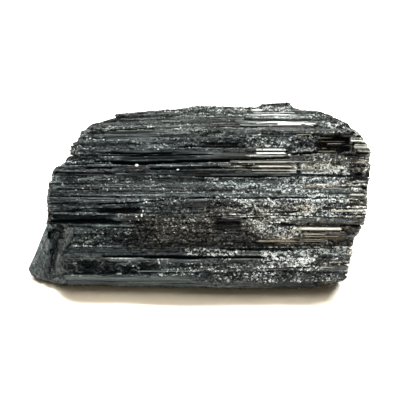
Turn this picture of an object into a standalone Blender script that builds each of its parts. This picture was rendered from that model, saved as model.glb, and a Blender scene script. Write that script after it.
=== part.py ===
"""A lump of black tourmaline (schorl), lying on its flattest side.

It is one natural piece: a bundle of long striated prisms, all parallel to X, that grew into each other.
Each prism is a closed solid here, and one Boolean union fuses them. Sizes are in millimetres until
they are placed, +X runs along the prisms, -Y is the front, and the underside rests on Z = 0.
"""

import math
import random
from collections import namedtuple

import bmesh
import bpy
from mathutils import Vector

MM = 0.001
SEED = 7

# The girdle of the lump at mid-length, in Y and Z. It starts at the front foot and goes up the front
# block, over its ledge, up the main face to the flat top, down the back and home along the base.
SECTION = [
    (-24.6, 0.0),
    (-25.2, 3.2),
    (-21.0, 9.5),
    (-16.0, 9.1),
    (-12.0, 18.0),
    (-7.5, 20.3),
    (0.0, 22.7),
    (3.5, 24.4),
    (7.5, 25.8),
    (13.0, 27.4),
    (17.0, 27.6),
    (21.5, 27.4),
    (24.7, 24.0),
    (25.8, 15.0),
    (24.0, 7.0),
    (20.0, 1.6),
    (16.0, 0.6),
]

# Both ends are oblique breaks. Each is a line of (reach, x): reach is how far up and back a place is.
REACH_Y, REACH_Z, REACH_ZERO = 0.766, 0.643, 18.4
LEFT_BREAK = [
    (0.0, -41.2),
    (9.0, -42.0),
    (14.0, -40.2),
    (18.0, -44.0),
    (29.0, -43.8),
    (35.0, -41.4),
    (37.5, -38.4),
    (41.0, -37.0),
    (45.3, -33.6),
    (48.0, -30.0),
    (49.0, -25.4),
    (53.0, -24.6),
]
RIGHT_BREAK = [
    (0.0, 38.0),
    (2.5, 42.6),
    (13.5, 44.6),
    (16.5, 47.2),
    (25.0, 48.8),
    (31.0, 49.6),
    (41.0, 49.2),
    (45.5, 46.8),
    (47.0, 43.6),
    (50.0, 38.5),
    (53.0, 33.0),
]

# The prisms bend a little: their girth shifts, and the lump thins, away from this x.
STRAIGHT_X, BEND_SPAN, BEND_SHIFT, THINNING = 15.0, 50.0, 0.9, 0.03

Rod = namedtuple("Rod", "girth width start end rise")

# The front block: its smooth foot, its broken face and its ledge.
FRONT_BLOCK = [
    Rod(1.6, 4.6, -41.2, 37.5, 0.0),
    Rod(5.0, 4.6, -42.0, 42.8, 0.2),
    Rod(8.4, 4.4, -41.6, 12.0, 0.4),
    Rod(8.6, 4.4, 10.0, 43.4, 0.1),
    Rod(11.9, 3.0, -41.4, 43.8, 0.5),
    Rod(14.2, 2.8, -40.6, 44.2, 0.0),
    Rod(18.0, 4.8, -40.4, -14.6, 1.9),
    Rod(21.6, 4.4, -38.8, -17.0, 1.4),
]
# The main face, up to its bundle of long glossy needles.
MAIN_FACE = [
    Rod(18.4, 4.4, -15.4, 44.6, 0.2),
    Rod(20.4, 1.8, 28.2, 41.6, 1.1),
    Rod(21.8, 4.0, -18.0, 20.0, 0.4),
    Rod(21.9, 3.6, 17.0, 46.4, 0.0),
    Rod(24.4, 3.0, -43.0, -12.0, -0.8),
    Rod(24.4, 3.0, -14.0, 47.3, 0.3),
    Rod(27.0, 3.6, -44.0, -9.0, 0.8),
    Rod(27.2, 3.4, -11.0, 48.0, 0.3),
    Rod(29.3, 2.2, -43.8, 48.4, 0.1),
    Rod(31.7, 2.9, -44.0, 49.0, 0.3),
    Rod(34.2, 3.0, -43.8, 5.0, 0.1),
    Rod(34.2, 3.0, 2.0, 49.4, 0.4),
    Rod(36.6, 2.8, -43.2, 49.6, 0.1),
    Rod(38.8, 1.8, -32.0, 28.6, 1.0),
    Rod(40.2, 1.8, -40.4, 28.2, 1.3),
    Rod(41.5, 1.5, -38.6, 27.4, 1.0),
    Rod(40.0, 4.6, 24.0, 49.6, -0.7),
]
# The top, from the dark groove behind the needles to the crest.
TOP = [
    Rod(44.0, 2.8, -37.4, 26.6, 0.0),
    Rod(45.8, 2.4, -27.0, 25.8, 0.4),
    Rod(44.6, 4.0, 24.0, 49.4, -0.8),
    Rod(47.2, 4.6, 26.4, 34.6, 0.9),
    Rod(47.6, 3.2, -36.2, 27.4, 0.2),
    Rod(48.6, 5.2, 30.0, 44.0, -1.3),
    Rod(47.4, 3.4, 43.0, 48.6, 0.4),
    Rod(49.9, 3.6, -35.0, 35.0, 0.2),
    Rod(50.4, 3.0, 42.4, 46.8, 0.3),
    Rod(52.1, 1.9, -33.4, 43.8, 0.3),
    Rod(53.8, 2.0, -31.2, 43.6, 0.8),
    Rod(55.6, 2.2, -28.0, 42.8, 0.5),
    Rod(57.5, 2.3, -25.6, 40.4, 0.7),
    Rod(59.5, 2.4, -25.2, 37.4, 0.5),
    Rod(61.0, 1.6, 14.0, 27.4, 1.6),
    Rod(61.6, 2.8, -24.6, 33.6, 0.2),
]
# Narrow ridges laid over the prisms, each with the same five numbers.
RIDGES = [
    Rod(12.6, 1.2, -18.0, 30.0, 1.1),
    Rod(13.9, 1.3, -36.0, 8.0, 0.7),
    Rod(25.7, 1.1, 6.0, 46.4, 0.7),
    Rod(28.3, 1.2, -43.6, -20.0, 1.0),
    Rod(30.3, 1.1, -24.0, 46.0, 0.7),
    Rod(33.2, 1.2, 14.0, 47.6, 0.8),
    Rod(35.3, 1.2, -43.0, 12.0, 0.7),
    Rod(37.6, 1.0, -40.0, 20.0, 0.7),
    Rod(42.9, 1.1, 29.0, 47.8, 0.2),
    Rod(49.6, 1.1, -34.6, 18.0, 0.9),
    Rod(54.8, 1.1, -29.0, 41.4, 1.1),
    Rod(58.6, 1.2, -24.0, 36.6, 1.1),
    Rod(66.0, 1.4, -20.0, 28.0, 0.9),
    Rod(72.5, 1.5, -26.0, 12.0, 0.9),
    Rod(81.0, 1.4, -8.0, 36.0, 0.9),
    Rod(88.0, 1.5, -30.0, 20.0, 0.8),
]
# The low wing that sticks out under the left break: the corners of its wedge.
WING = [
    (-40.6, -22.8, 0.5),
    (-45.2, -21.8, 0.4),
    (-48.4, -19.6, 0.4),
    (-49.8, -18.3, 1.6),
    (-48.2, -12.0, 0.5),
    (-45.3, -3.0, 0.5),
    (-44.1, -7.0, 9.0),
    (-44.0, -2.0, 10.5),
    (-40.4, -14.6, 9.6),
    (-39.8, -20.6, 5.6),
    (-34.0, -22.0, 0.5),
    (-34.0, -1.0, 0.5),
    (-34.0, -2.0, 12.0),
    (-34.0, -14.0, 9.0),
]
# Broken-out places: x, girth, then how long, wide and deep.
CHIPS = [
    (-33.4, 8.2, 2.6, 1.9, 1.3),
    (-27.6, 6.6, 1.8, 2.4, 1.1),
    (-21.4, 7.6, 2.2, 2.0, 1.2),
    (-15.8, 6.0, 2.3, 2.1, 1.2),
    (3.0, 7.2, 2.6, 1.6, 0.8),
    (23.0, 5.6, 3.0, 1.8, 0.9),
    (43.8, 2.6, 3.4, 3.6, 2.2),
    (-15.4, 19.6, 1.8, 3.4, 1.5),
    (-37.4, 55.0, 3.4, 2.8, 1.4),
    (46.6, 48.8, 2.2, 1.8, 1.2),
    (12.0, 64.6, 5.0, 2.0, 1.2),
    (-18.0, 70.0, 4.0, 3.0, 1.4),
    (34.0, 76.0, 6.0, 3.4, 1.6),
    (-30.0, 84.0, 3.6, 3.2, 1.5),
    (8.0, 90.0, 6.0, 2.6, 1.4),
]
# Gaps between the wing and the front block: x, y, z and radius.
GAPS = [(-42.4, -11.0, 8.6, 1.8), (-43.0, -15.8, 5.9, 1.3), (-42.6, -22.4, 2.4, 1.0)]

ROD_SIDES = 7
ROD_DEPTH_SHARE = 1.15
ROD_STEP = 24.0
HEART_SINK = 1.4
HEART_INSET = 2.2
HEART_SIDES = 40
COLUMN_WIDTH, COLUMN_HEIGHT = 5.2, 4.6
FLOOR_GAP = 0.4


def perimeter(points):
    """The running length at each corner of a closed outline, ending with the whole of it."""
    run = [0.0]
    for a, b in zip(points, points[1:] + points[:1]):
        run.append(run[-1] + math.dist(a, b))
    return run


RUN = perimeter(SECTION)
GIRTH = RUN[-1]


def on_section(girth):
    """The point at this girth, and the direction out of the lump there, both in Y and Z."""
    girth %= GIRTH
    k = max(i for i in range(len(SECTION)) if RUN[i] <= girth)
    a = Vector(SECTION[k])
    b = Vector(SECTION[(k + 1) % len(SECTION)])
    share = (girth - RUN[k]) / (RUN[k + 1] - RUN[k])
    along = (b - a).normalized()
    return a.lerp(b, share), Vector((-along.y, along.x))


def from_line(line, at):
    """Reads a line of (place, value) points, straight between them and level past its ends."""
    for (p0, v0), (p1, v1) in zip(line, line[1:]):
        if at <= p1:
            return v0 + (v1 - v0) * max(0.0, at - p0) / (p1 - p0)
    return line[-1][1]


def reach(y, z):
    return y * REACH_Y + z * REACH_Z + REACH_ZERO


def bow(x):
    """How much of the bend there is at x: none at STRAIGHT_X, and little to its right."""
    off = (x - STRAIGHT_X) / BEND_SPAN
    return off * off * (1.0 if off < 0 else 0.35)


def place(x, girth, rise):
    """Y and Z of a point that stands this far out of the surface, with the local outward direction."""
    shift = BEND_SHIFT * bow(x) * min(1.0, girth / 60.0) if girth < 75.0 else 0.0
    point, out = on_section(girth - shift)
    point = (point + out * rise) * (1.0 - THINNING * bow(x))
    return point, out


def finish_solid(bm, name, keep):
    """Puts a closed bmesh into a helper object that only the Booleans use."""
    bmesh.ops.recalc_face_normals(bm, faces=bm.faces)
    if bm.calc_volume(signed=True) < 0.0:
        bmesh.ops.reverse_faces(bm, faces=bm.faces)
    bmesh.ops.triangulate(bm, faces=bm.faces)
    mesh = bpy.data.meshes.new(name)
    bm.to_mesh(mesh)
    bm.free()
    obj = bpy.data.objects.new(name, mesh)
    keep.objects.link(obj)
    obj.hide_render = True
    obj.display_type = "WIRE"


def prism(name, rings, keep):
    """A closed solid through rings of equal length, each a list of (x, y, z) in millimetres."""
    bm = bmesh.new()
    loops = [[bm.verts.new(Vector(p) * MM) for p in ring] for ring in rings]
    for one, two in zip(loops, loops[1:]):
        for k in range(len(one)):
            n = (k + 1) % len(one)
            bm.faces.new((one[k], one[n], two[n], two[k]))
    bm.faces.new(loops[0])
    bm.faces.new(loops[-1])
    finish_solid(bm, name, keep)


def ragged_polygon(rng, sides, half_width, half_depth):
    """An irregular polygon about (0, 0), as the cross-section of one prism."""
    turn = rng.uniform(0, math.tau)
    corners = []
    for k in range(sides):
        angle = turn + math.tau * (k + rng.uniform(-0.2, 0.2)) / sides
        size = rng.uniform(0.94, 1.1)
        corners.append((half_width * size * math.cos(angle), half_depth * size * math.sin(angle)))
    return corners


def slanted(outline, slope, inward):
    """How far each corner of an end stands back in X, so that a slanted end never grows past its mark."""
    offs = [slope[0] * a + slope[1] * b for a, b in outline]
    outermost = min(offs) if inward > 0 else max(offs)
    return [off - outermost for off in offs]


def surface_rod(rng, rod, keep, sides=ROD_SIDES):
    """One prism of the skin, half sunk in the lump, that follows the bend and swells and thins."""
    steps = max(1, round((rod.end - rod.start) / ROD_STEP))
    half_width = rod.width * 0.58
    half_depth = rod.width * 0.5 * ROD_DEPTH_SHARE
    outline = ragged_polygon(rng, sides, half_width, half_depth)
    slants = [(rng.uniform(-0.7, 0.7), rng.uniform(-0.5, 0.5)) for _ in range(2)]
    rings = []
    for k in range(steps + 1):
        x = rod.start + (rod.end - rod.start) * k / steps
        if 0 < k < steps:
            x += rng.uniform(-3.0, 3.0)
        swell = rng.uniform(0.92, 1.06)
        lift = rng.uniform(-0.05, 0.05) * rod.width
        centre, out = place(x, rod.girth, rod.rise + lift - half_depth * 0.92)
        tangent = Vector((out.y, -out.x))
        back = [0.0] * sides
        if k == 0:
            back = slanted(outline, slants[0], 1)
        if k == steps:
            back = slanted(outline, slants[1], -1)
        ring = []
        for (a, b), off in zip(outline, back):
            point = centre + tangent * a * swell + out * b
            ring.append((x + off, point.x, max(point.y, FLOOR_GAP)))
        rings.append(ring)
    prism(f"rod_{len(keep.objects):03d}", rings, keep)


def break_x(line, y, z):
    return from_line(line, reach(y, z))


def heart(keep):
    """The mass under the skin: the section, sunk and shortened, with the same oblique ends."""
    corners = [(g + 0.5) * GIRTH / HEART_SIDES for g in range(HEART_SIDES)]
    rings = []
    for share in (0.0, 0.25, 0.5, 0.75, 1.0):
        ring = []
        for girth in corners:
            guess = -42.0 + 88.0 * share
            point, _ = place(guess, girth, -HEART_SINK)
            left = break_x(LEFT_BREAK, *point) + HEART_INSET
            right = break_x(RIGHT_BREAK, *point) - HEART_INSET
            ring.append((left + (right - left) * share, point.x, max(point.y, 0.7)))
        rings.append(ring)
    prism("heart", rings, keep)


def inside(point, margin):
    """Whether a point of the cross-section lies this far inside the section."""
    nearest = min(math.dist(point, on_section(g)[0]) for g in range(int(GIRTH)))
    crossings = 0
    for (y0, z0), (y1, z1) in zip(SECTION, SECTION[1:] + SECTION[:1]):
        if (z0 > point.y) != (z1 > point.y):
            crossings += point.x < y0 + (point.y - z0) * (y1 - y0) / (z1 - z0)
    return crossings % 2 == 1 and nearest > margin


def pulled_inside(centre, point, margin):
    """The point, or the farthest place on its way from the centre that is still inside the section."""
    for share in (1.0, 0.9, 0.8, 0.7, 0.6, 0.5, 0.4, 0.3):
        spot = centre.lerp(point, share)
        if inside(spot, margin):
            return spot
    return centre.lerp(point, 0.2)


def columns(rng, keep):
    """Close-packed six-sided columns through the lump, whose stepped ends make both breaks."""
    corner_at = {}

    def corner(column, row):
        if (column, row) not in corner_at:
            y = column * COLUMN_WIDTH / 2.0 + rng.uniform(-0.9, 0.9)
            z = row * COLUMN_HEIGHT + 0.8 + rng.uniform(-0.9, 0.9)
            corner_at[column, row] = Vector((y, z))
        return corner_at[column, row]

    for row in range(6):
        for column in range(-10 + row % 2, 10, 2):
            around = [
                corner(column + step, row + up)
                for step, up in ((0, 0), (1, 0), (2, 0), (2, 1), (1, 1), (0, 1))
            ]
            centre = sum(around, Vector((0.0, 0.0))) / 6.0
            if not inside(centre, 1.2):
                continue
            column_solid(rng, centre, around, keep)


def column_solid(rng, centre, around, keep):
    """One column: its cell of the section, a little oversize so that it sinks into its neighbours."""
    ends = (
        break_x(LEFT_BREAK, *centre) + rng.uniform(0.0, 1.8),
        break_x(RIGHT_BREAK, *centre) - rng.uniform(0.0, 1.8),
    )
    grown = [centre + (point - centre) * 1.06 for point in around]
    sunk = [pulled_inside(centre, point, 0.7) for point in grown]
    rings = []
    for x, inward in zip(ends, (1, -1)):
        slope = rng.uniform(-0.35, 0.35), rng.uniform(-0.35, 0.35)
        back = slanted([point - centre for point in sunk], slope, inward)
        ring = []
        for point, off in zip(sunk, back):
            end = x + off + rng.uniform(-0.2, 0.2)
            ring.append((end, point.x, max(point.y, FLOOR_GAP + 0.1)))
        rings.append(ring)
    prism(f"column_{len(keep.objects):03d}", rings, keep)


def plain_rod(rng, centre, radius, start, end, keep):
    """A straight prism about a line parallel to X, with slanted ends."""
    outline = ragged_polygon(rng, 6, radius, radius)
    rings = []
    for x, inward in ((start, 1), (end, -1)):
        slope = rng.uniform(-0.3, 0.3), rng.uniform(-0.3, 0.3)
        ring = []
        for (a, b), off in zip(outline, slanted(outline, slope, inward)):
            ring.append((x + off, centre.x + a, max(centre.y + b, FLOOR_GAP)))
        rings.append(ring)
    prism(f"rod_{len(keep.objects):03d}", rings, keep)


def back_rods(rng, keep):
    """The hidden back: courses of prisms of many widths, each broken off at its own place."""
    girth = 63.8
    while girth < RUN[-2] - 3.0:
        width = rng.uniform(2.4, 5.0)
        point, _ = place(0.0, girth + width * 0.4, 0.0)
        left = break_x(LEFT_BREAK, *point)
        right = break_x(RIGHT_BREAK, *point)
        joint = rng.uniform(-20.0, 25.0)
        overlap = rng.uniform(1.0, 4.0)
        for start, end in ((left, joint + overlap), (joint - overlap, right)):
            rod = Rod(
                girth + width * 0.4,
                width,
                start + rng.uniform(0.0, 1.4),
                end - rng.uniform(0.0, 1.4),
                rng.uniform(-0.3, 0.9),
            )
            surface_rod(rng, rod, keep)
        girth += width * 0.8


def base_rods(rng, keep):
    """The underside: two broad prisms whose lower faces are its feet, and narrow ones between."""
    for y, half_width, start, end in ((-15.5, 7.0, -39.5, 39.0), (9.5, 6.5, -37.0, 42.0)):
        ring = [(-1.0, 1.2), (-0.86, 0.0), (0.86, 0.0), (1.0, 1.6), (0.7, 5.0), (-0.7, 5.0)]
        rings = [
            [(x + rng.uniform(-0.8, 0.8), y + a * half_width, b) for a, b in ring]
            for x in (start, end)
        ]
        prism(f"base_{len(keep.objects):03d}", rings, keep)
    for y in (-21.6, -6.6, -3.4, 0.2, 17.6):
        centre = Vector((y + rng.uniform(-0.4, 0.4), rng.uniform(2.9, 3.3)))
        start = -40.0 + rng.uniform(-0.6, 2.0)
        end = 41.0 + rng.uniform(-2.0, 1.5)
        plain_rod(rng, centre, 2.5, start, end, keep)


def wing(keep):
    """The wedge of the wing: the smallest solid that holds all of its corners."""
    bm = bmesh.new()
    for corner in WING:
        bm.verts.new(Vector(corner) * MM)
    hull = bmesh.ops.convex_hull(bm, input=bm.verts)
    loose = {v for v in hull["geom_interior"] + hull["geom_unused"] if isinstance(v, bmesh.types.BMVert)}
    bmesh.ops.delete(bm, geom=list(loose), context="VERTS")
    finish_solid(bm, "wing", keep)


def hollow(rng, name, centre, sizes, axes, keep):
    """A rough ball, stretched along three directions, to be cut out of the lump."""
    bm = bmesh.new()
    bmesh.ops.create_icosphere(bm, subdivisions=1, radius=1.0)
    for vert in bm.verts:
        shape = vert.co * rng.uniform(0.85, 1.15)
        spot = centre.copy()
        for axis, size, share in zip(axes, sizes, shape):
            spot += axis * (size * share)
        vert.co = spot * MM
    finish_solid(bm, name, keep)


def hollows(rng, keep):
    """Everything that is broken out of the lump."""
    for x, girth, long, wide, deep in CHIPS:
        point, out = place(x, girth, deep * 0.25)
        axes = Vector((1, 0, 0)), Vector((0, out.y, -out.x)), Vector((0, out.x, out.y))
        hollow(rng, "chip", Vector((x, point.x, point.y)), (long, wide, deep), axes, keep)
    upright = Vector((1, 0, 0)), Vector((0, 1, 0)), Vector((0, 0, 1))
    for x, y, z, radius in GAPS:
        hollow(rng, "gap", Vector((x, y, z)), (radius, radius, radius), upright, keep)


def collection(name):
    made = bpy.data.collections.new(name)
    bpy.context.scene.collection.children.link(made)
    return made


def boolean(obj, operation, others):
    step = obj.modifiers.new(operation.lower(), "BOOLEAN")
    step.operation = operation
    step.operand_type = "COLLECTION"
    step.collection = others
    step.solver = "EXACT"


def keep_outer_shell(bm):
    """Deletes the walls of the sealed gaps between prisms, which nothing outside can reach."""
    left = set(bm.verts)
    shells = []
    while left:
        shell = set()
        reached = [left.pop()]
        while reached:
            vert = reached.pop()
            shell.add(vert)
            for edge in vert.link_edges:
                other = edge.other_vert(vert)
                if other in left:
                    left.remove(other)
                    reached.append(other)
        shells.append(shell)
    outer = max(shells, key=len)
    inner = [vert for shell in shells if shell is not outer for vert in shell]
    bmesh.ops.delete(bm, geom=inner, context="VERTS")


def centre_on_base(bm):
    """Moves the lump so that its box stands on Z = 0 with the Z axis through its middle."""
    low = [min(vert.co[axis] for vert in bm.verts) for axis in range(3)]
    high = [max(vert.co[axis] for vert in bm.verts) for axis in range(3)]
    middle = Vector(((low[0] + high[0]) / 2.0, (low[1] + high[1]) / 2.0, low[2]))
    bmesh.ops.translate(bm, verts=bm.verts, vec=-middle)


def schorl():
    """Black tourmaline: nearly black, glassy on its prism faces."""
    material = bpy.data.materials.new("schorl")
    material.use_nodes = True
    shader = material.node_tree.nodes["Principled BSDF"]
    shader.inputs["Base Color"].default_value = (0.035, 0.038, 0.037, 1.0)
    shader.inputs["Roughness"].default_value = 0.35
    shader.inputs["Metallic"].default_value = 0.0
    return material


def main():
    for obj in list(bpy.data.objects):
        bpy.data.objects.remove(obj)
    rng = random.Random(SEED)
    solids = collection("solids")
    heart(solids)
    columns(rng, solids)
    for rod in FRONT_BLOCK + MAIN_FACE + TOP:
        surface_rod(rng, rod, solids)
    for ridge in RIDGES:
        surface_rod(rng, ridge, solids, sides=5)
    back_rods(rng, solids)
    base_rods(rng, solids)
    wing(solids)
    cuts = collection("cuts")
    hollows(rng, cuts)

    first = solids.objects[0]
    solids.objects.unlink(first)
    bpy.context.scene.collection.objects.link(first)
    boolean(first, "UNION", solids)
    boolean(first, "DIFFERENCE", cuts)
    graph = bpy.context.evaluated_depsgraph_get()
    fused = bpy.data.meshes.new_from_object(first.evaluated_get(graph))
    fused.name = "tourmaline_crystal"

    bm = bmesh.new()
    bm.from_mesh(fused)
    keep_outer_shell(bm)
    bmesh.ops.triangulate(bm, faces=bm.faces)
    centre_on_base(bm)
    bm.to_mesh(fused)
    bm.free()
    fused.materials.clear()
    fused.materials.append(schorl())
    crystal = bpy.data.objects.new("tourmaline_crystal", fused)
    bpy.context.scene.collection.objects.link(crystal)


main()
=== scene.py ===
# %% [markdown]
# # A lump of raw black tourmaline
#
# The object is one natural lump of schorl, the black tourmaline: a bundle of long prisms, all parallel,
# that grew into each other and were broken off at both ends. The imported solid has its main forms. This
# file dresses it: a finely striated skin, needles and grains that stand on the skin, their finishes, and
# a plain set with a floor, soft light and a camera. The first cell loads the imported solid.

# %% The frame
import math

import bmesh
import bpy
import numpy as np
from mathutils import Matrix, Vector
from mathutils.bvhtree import BVHTree


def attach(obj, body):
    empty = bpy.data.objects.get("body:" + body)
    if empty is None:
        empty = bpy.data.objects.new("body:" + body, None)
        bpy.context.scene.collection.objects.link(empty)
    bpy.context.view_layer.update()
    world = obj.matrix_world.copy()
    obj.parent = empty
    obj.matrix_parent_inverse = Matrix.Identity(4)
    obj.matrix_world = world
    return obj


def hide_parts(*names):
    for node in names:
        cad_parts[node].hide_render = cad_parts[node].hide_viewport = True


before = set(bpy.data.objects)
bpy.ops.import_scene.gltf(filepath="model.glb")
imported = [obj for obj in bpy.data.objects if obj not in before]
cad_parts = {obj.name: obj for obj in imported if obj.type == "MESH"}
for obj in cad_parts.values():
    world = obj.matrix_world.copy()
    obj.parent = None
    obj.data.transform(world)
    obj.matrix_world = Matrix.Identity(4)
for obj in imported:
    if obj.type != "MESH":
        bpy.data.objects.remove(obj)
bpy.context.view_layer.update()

MM = 0.001
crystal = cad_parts["tourmaline_crystal"]

# %% [markdown]
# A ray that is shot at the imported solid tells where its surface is. For that the solid's triangles go
# into a search tree, in millimetres, because small numbers in metres are hard to read. Only a copy is
# scaled: the solid itself is never changed.

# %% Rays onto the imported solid
solid = bmesh.new()
solid.from_mesh(crystal.data)
bmesh.ops.scale(solid, vec=(1 / MM, 1 / MM, 1 / MM), verts=solid.verts)
tree = BVHTree.FromBMesh(solid)
solid.free()


def first_hit(origin, direction, longest):
    """How far a ray goes before it meets the solid, or None when it goes past."""
    return tree.ray_cast(Vector(origin), Vector(direction), longest)[3]


print("search tree ready")

# %% [markdown]
# The lump has one best side: from the front and 50 degrees up, its top and its main face both show. Every
# named place below is given as it is seen from there, in millimetres. `across` runs along the prisms, as
# X does, and `high` runs up and back, from 0 at the front foot to about 53 at the crest.

# %% The best side
AIM = np.array([0.37, -3.0, 14.0])
ELEVATION, DISTANCE, WIDE = math.radians(50.0), 600.0, 116.96
BACKWARD = np.array([0.0, -math.cos(ELEVATION), math.sin(ELEVATION)])
UPWARD = np.array([0.0, math.sin(ELEVATION), math.cos(ELEVATION)])
EYE = AIM + BACKWARD * DISTANCE
HIGH_ZERO = 25.5


def seen(points):
    """Where points show from the best side: arrays of across and high."""
    off = points - AIM
    scale = DISTANCE / (DISTANCE - off @ BACKWARD)
    return off[..., 0] * scale + AIM[0], (off @ UPWARD) * scale + HIGH_ZERO


def sight_line(across, high):
    """The unit direction from the eye through this place."""
    goal = AIM + UPWARD * (high - HIGH_ZERO) + np.array([across - AIM[0], 0.0, 0.0])
    line = goal - EYE
    return line / np.linalg.norm(line)


print("the foot is seen at", np.round(seen(np.array([0.0, -25.0, 0.0])), 1))

# %% [markdown]
# Every prism runs along X, so the skin is laid out in lines along X, as thread on a bobbin would lie the
# other way. The lines stand around a girdle: the outline of the lump at mid-length, in Y and Z. Its
# corners are rounded by averaging each place with its neighbours, so that the directions out of it turn
# evenly and never cross close to the surface.

# %% The girdle
GIRDLE = [
    (-25.1, 0), (-25.7, 3.2), (-21.5, 9.5), (-16.5, 9.1), (-12.5, 18), (-8, 20.3), (-0.5, 22.7), (3, 24.4),
    (7, 25.8), (12.5, 27.4), (16.5, 27.6), (21, 27.4), (24.2, 24), (25.2, 15), (23.5, 7), (19.5, 1.6),
    (15.5, 0.3),
]
GIRDLE_STEP = 0.1
ROUNDING = 2.2


def even_points(corners, step):
    """Points a fixed step apart along a closed outline."""
    made = []
    for a, b in zip(corners, corners[1:] + corners[:1]):
        a, b = np.array(a), np.array(b)
        count = max(1, round(math.dist(a, b) / step))
        made += [a + (b - a) * k / count for k in range(count)]
    return np.array(made)


def rounded(points, width):
    """A closed row of points averaged over its neighbours, by a bell of this width."""
    frequency = np.fft.fftfreq(len(points), d=GIRDLE_STEP)
    bell = np.exp(-2 * (math.pi * frequency * width) ** 2)
    return np.real(np.fft.ifft(np.fft.fft(points, axis=0) * bell[:, None], axis=0))


girdle = rounded(even_points(GIRDLE, GIRDLE_STEP), ROUNDING)
girdle_length = len(girdle) * GIRDLE_STEP
along = np.roll(girdle, -1, axis=0) - np.roll(girdle, 1, axis=0)
along /= np.linalg.norm(along, axis=1)[:, None]
outward = np.stack([-along[:, 1], along[:, 0]], axis=1)
print(f"girdle {girdle_length:.1f} mm round")


def on_girdle(girth):
    """Place and outward direction, in Y and Z, for an array of distances round the girdle."""
    index = np.round(np.asarray(girth) / GIRDLE_STEP).astype(int) % len(girdle)
    return girdle[index], outward[index]


# %% [markdown]
# Rough stone is full of small differences that never repeat. Two kinds of number field make them. The
# first is smooth noise: random heights on a lattice, with an eased blend between. The second is a mosaic:
# each place takes the height and the tilt of its nearest seed, which gives flat facets with sharp edges,
# the way crushed or broken crystal looks. Both work on whole arrays at once, and both give a place the
# same value in every sheet, so that neighbouring sheets meet.

# %% Noise and mosaics
def lattice_value(cell, seed):
    """A repeatable random number from 0 to 1 for each whole-number cell."""
    mixed = cell[..., 0] * 73856093 ^ cell[..., 1] * 19349663 ^ cell[..., 2] * 83492791
    mixed = (mixed + seed * 2654435761) & 0xFFFFFFFF
    mixed = ((mixed ^ (mixed >> 15)) * 2246822519) & 0xFFFFFFFF
    mixed = ((mixed ^ (mixed >> 13)) * 3266489917) & 0xFFFFFFFF
    return ((mixed ^ (mixed >> 16)) & 0xFFFFFF) / 0xFFFFFF


def smooth_noise(points, sizes, seed):
    """Noise from -1 to 1 at each point, whose lumps have these sizes along X, Y and Z."""
    scaled = points / np.array(sizes)
    cell = np.floor(scaled).astype(np.int64)
    part = scaled - cell
    part = part * part * (3 - 2 * part)
    total = np.zeros(points.shape[:-1])
    for corner in np.ndindex(2, 2, 2):
        corner = np.array(corner)
        weight = np.prod(np.where(corner == 1, part, 1 - part), axis=-1)
        total += weight * lattice_value(cell + corner, seed)
    return total * 2 - 1


def mosaic(a, b, size_a, size_b, tilt, seed):
    """Flat tilted facets: a height of about -1 to 1 at each (a, b) place, for facets of this size."""
    scaled = np.stack([a / size_a, b / size_b, 0 * a], axis=-1)
    home = np.floor(scaled).astype(np.int64)
    nearest = np.full(a.shape, np.inf)
    height = np.zeros(a.shape)
    for step in np.ndindex(3, 3):
        cell = home + np.array([step[0] - 1, step[1] - 1, 0])
        off_a = scaled[..., 0] - cell[..., 0] - lattice_value(cell, seed)
        off_b = scaled[..., 1] - cell[..., 1] - lattice_value(cell, seed + 1)
        gone = off_a**2 + off_b**2
        slope_a = (lattice_value(cell, seed + 2) * 2 - 1) * tilt
        slope_b = (lattice_value(cell, seed + 3) * 2 - 1) * tilt
        value = lattice_value(cell, seed + 4) * 2 - 1 + off_a * slope_a + off_b * slope_b
        height = np.where(gone < nearest, value, height)
        nearest = np.minimum(nearest, gone)
    return height


print("noise from -1 to 1:", np.round(smooth_noise(np.eye(3) * 0.5, (1, 1, 1), 1), 2))

# %% [markdown]
# Some places of the lump are smooth prism faces, others are crushed to sparkling grains or stained brown.
# Each list below says where one such thing is: granular breaks, brown stain, a green tint, glassy gloss,
# faces without striations, and dull bands of little contrast. A patch is (across, high, half length, half
# height, strength), with soft edges. Tones are painted one over the other, from the whole face down to
# single strips: 0 is black, 0.4 is plain schorl, and 0.8 is crushed to pale grains. Besides the stone's
# own tone they hold painted light: the near-black patches in recesses, pockets and under ledges are
# painted shade, and some pale strips near the crest are partly painted highlight.

# %% Where the surface changes
GRANULAR = [
    (24.3, 23, 22, 3.4, 0.9), (20.3, 17, 9.5, 4.6, 1), (30.8, 9, 12.5, 3.8, 1), (4.5, 10.4, 8.5, 1.7, 1),
    (8, 4.6, 36, 3, 0.85), (38.4, 34.2, 10.5, 4.6, 0.85), (16, 29.6, 22, 3.2, 0.55), (15, 42.6, 12, 3, 0.8),
    (30.6, 42.6, 4.6, 2.6, 1), (-9, 42, 14, 1.8, 0.6), (-34, 41, 7.4, 5, 0.7), (-16, 48.6, 14, 3, 0.5),
    (5, 51.3, 22, 2, 0.5), (38, 48.6, 6.5, 3.4, 0.9), (-27, 14.8, 12.6, 3, 0.75), (-6, 17, 14, 5, 0.85),
    (-36.5, 22.4, 7.6, 1.6, 0.5), (45.6, 24, 4, 9, 0.6), (-24, 6, 16, 2.6, 0.35), (-10, 23.5, 12, 2.6, 0.6),
    (-14, 30, 26, 3.2, 0.5),
]
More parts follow.
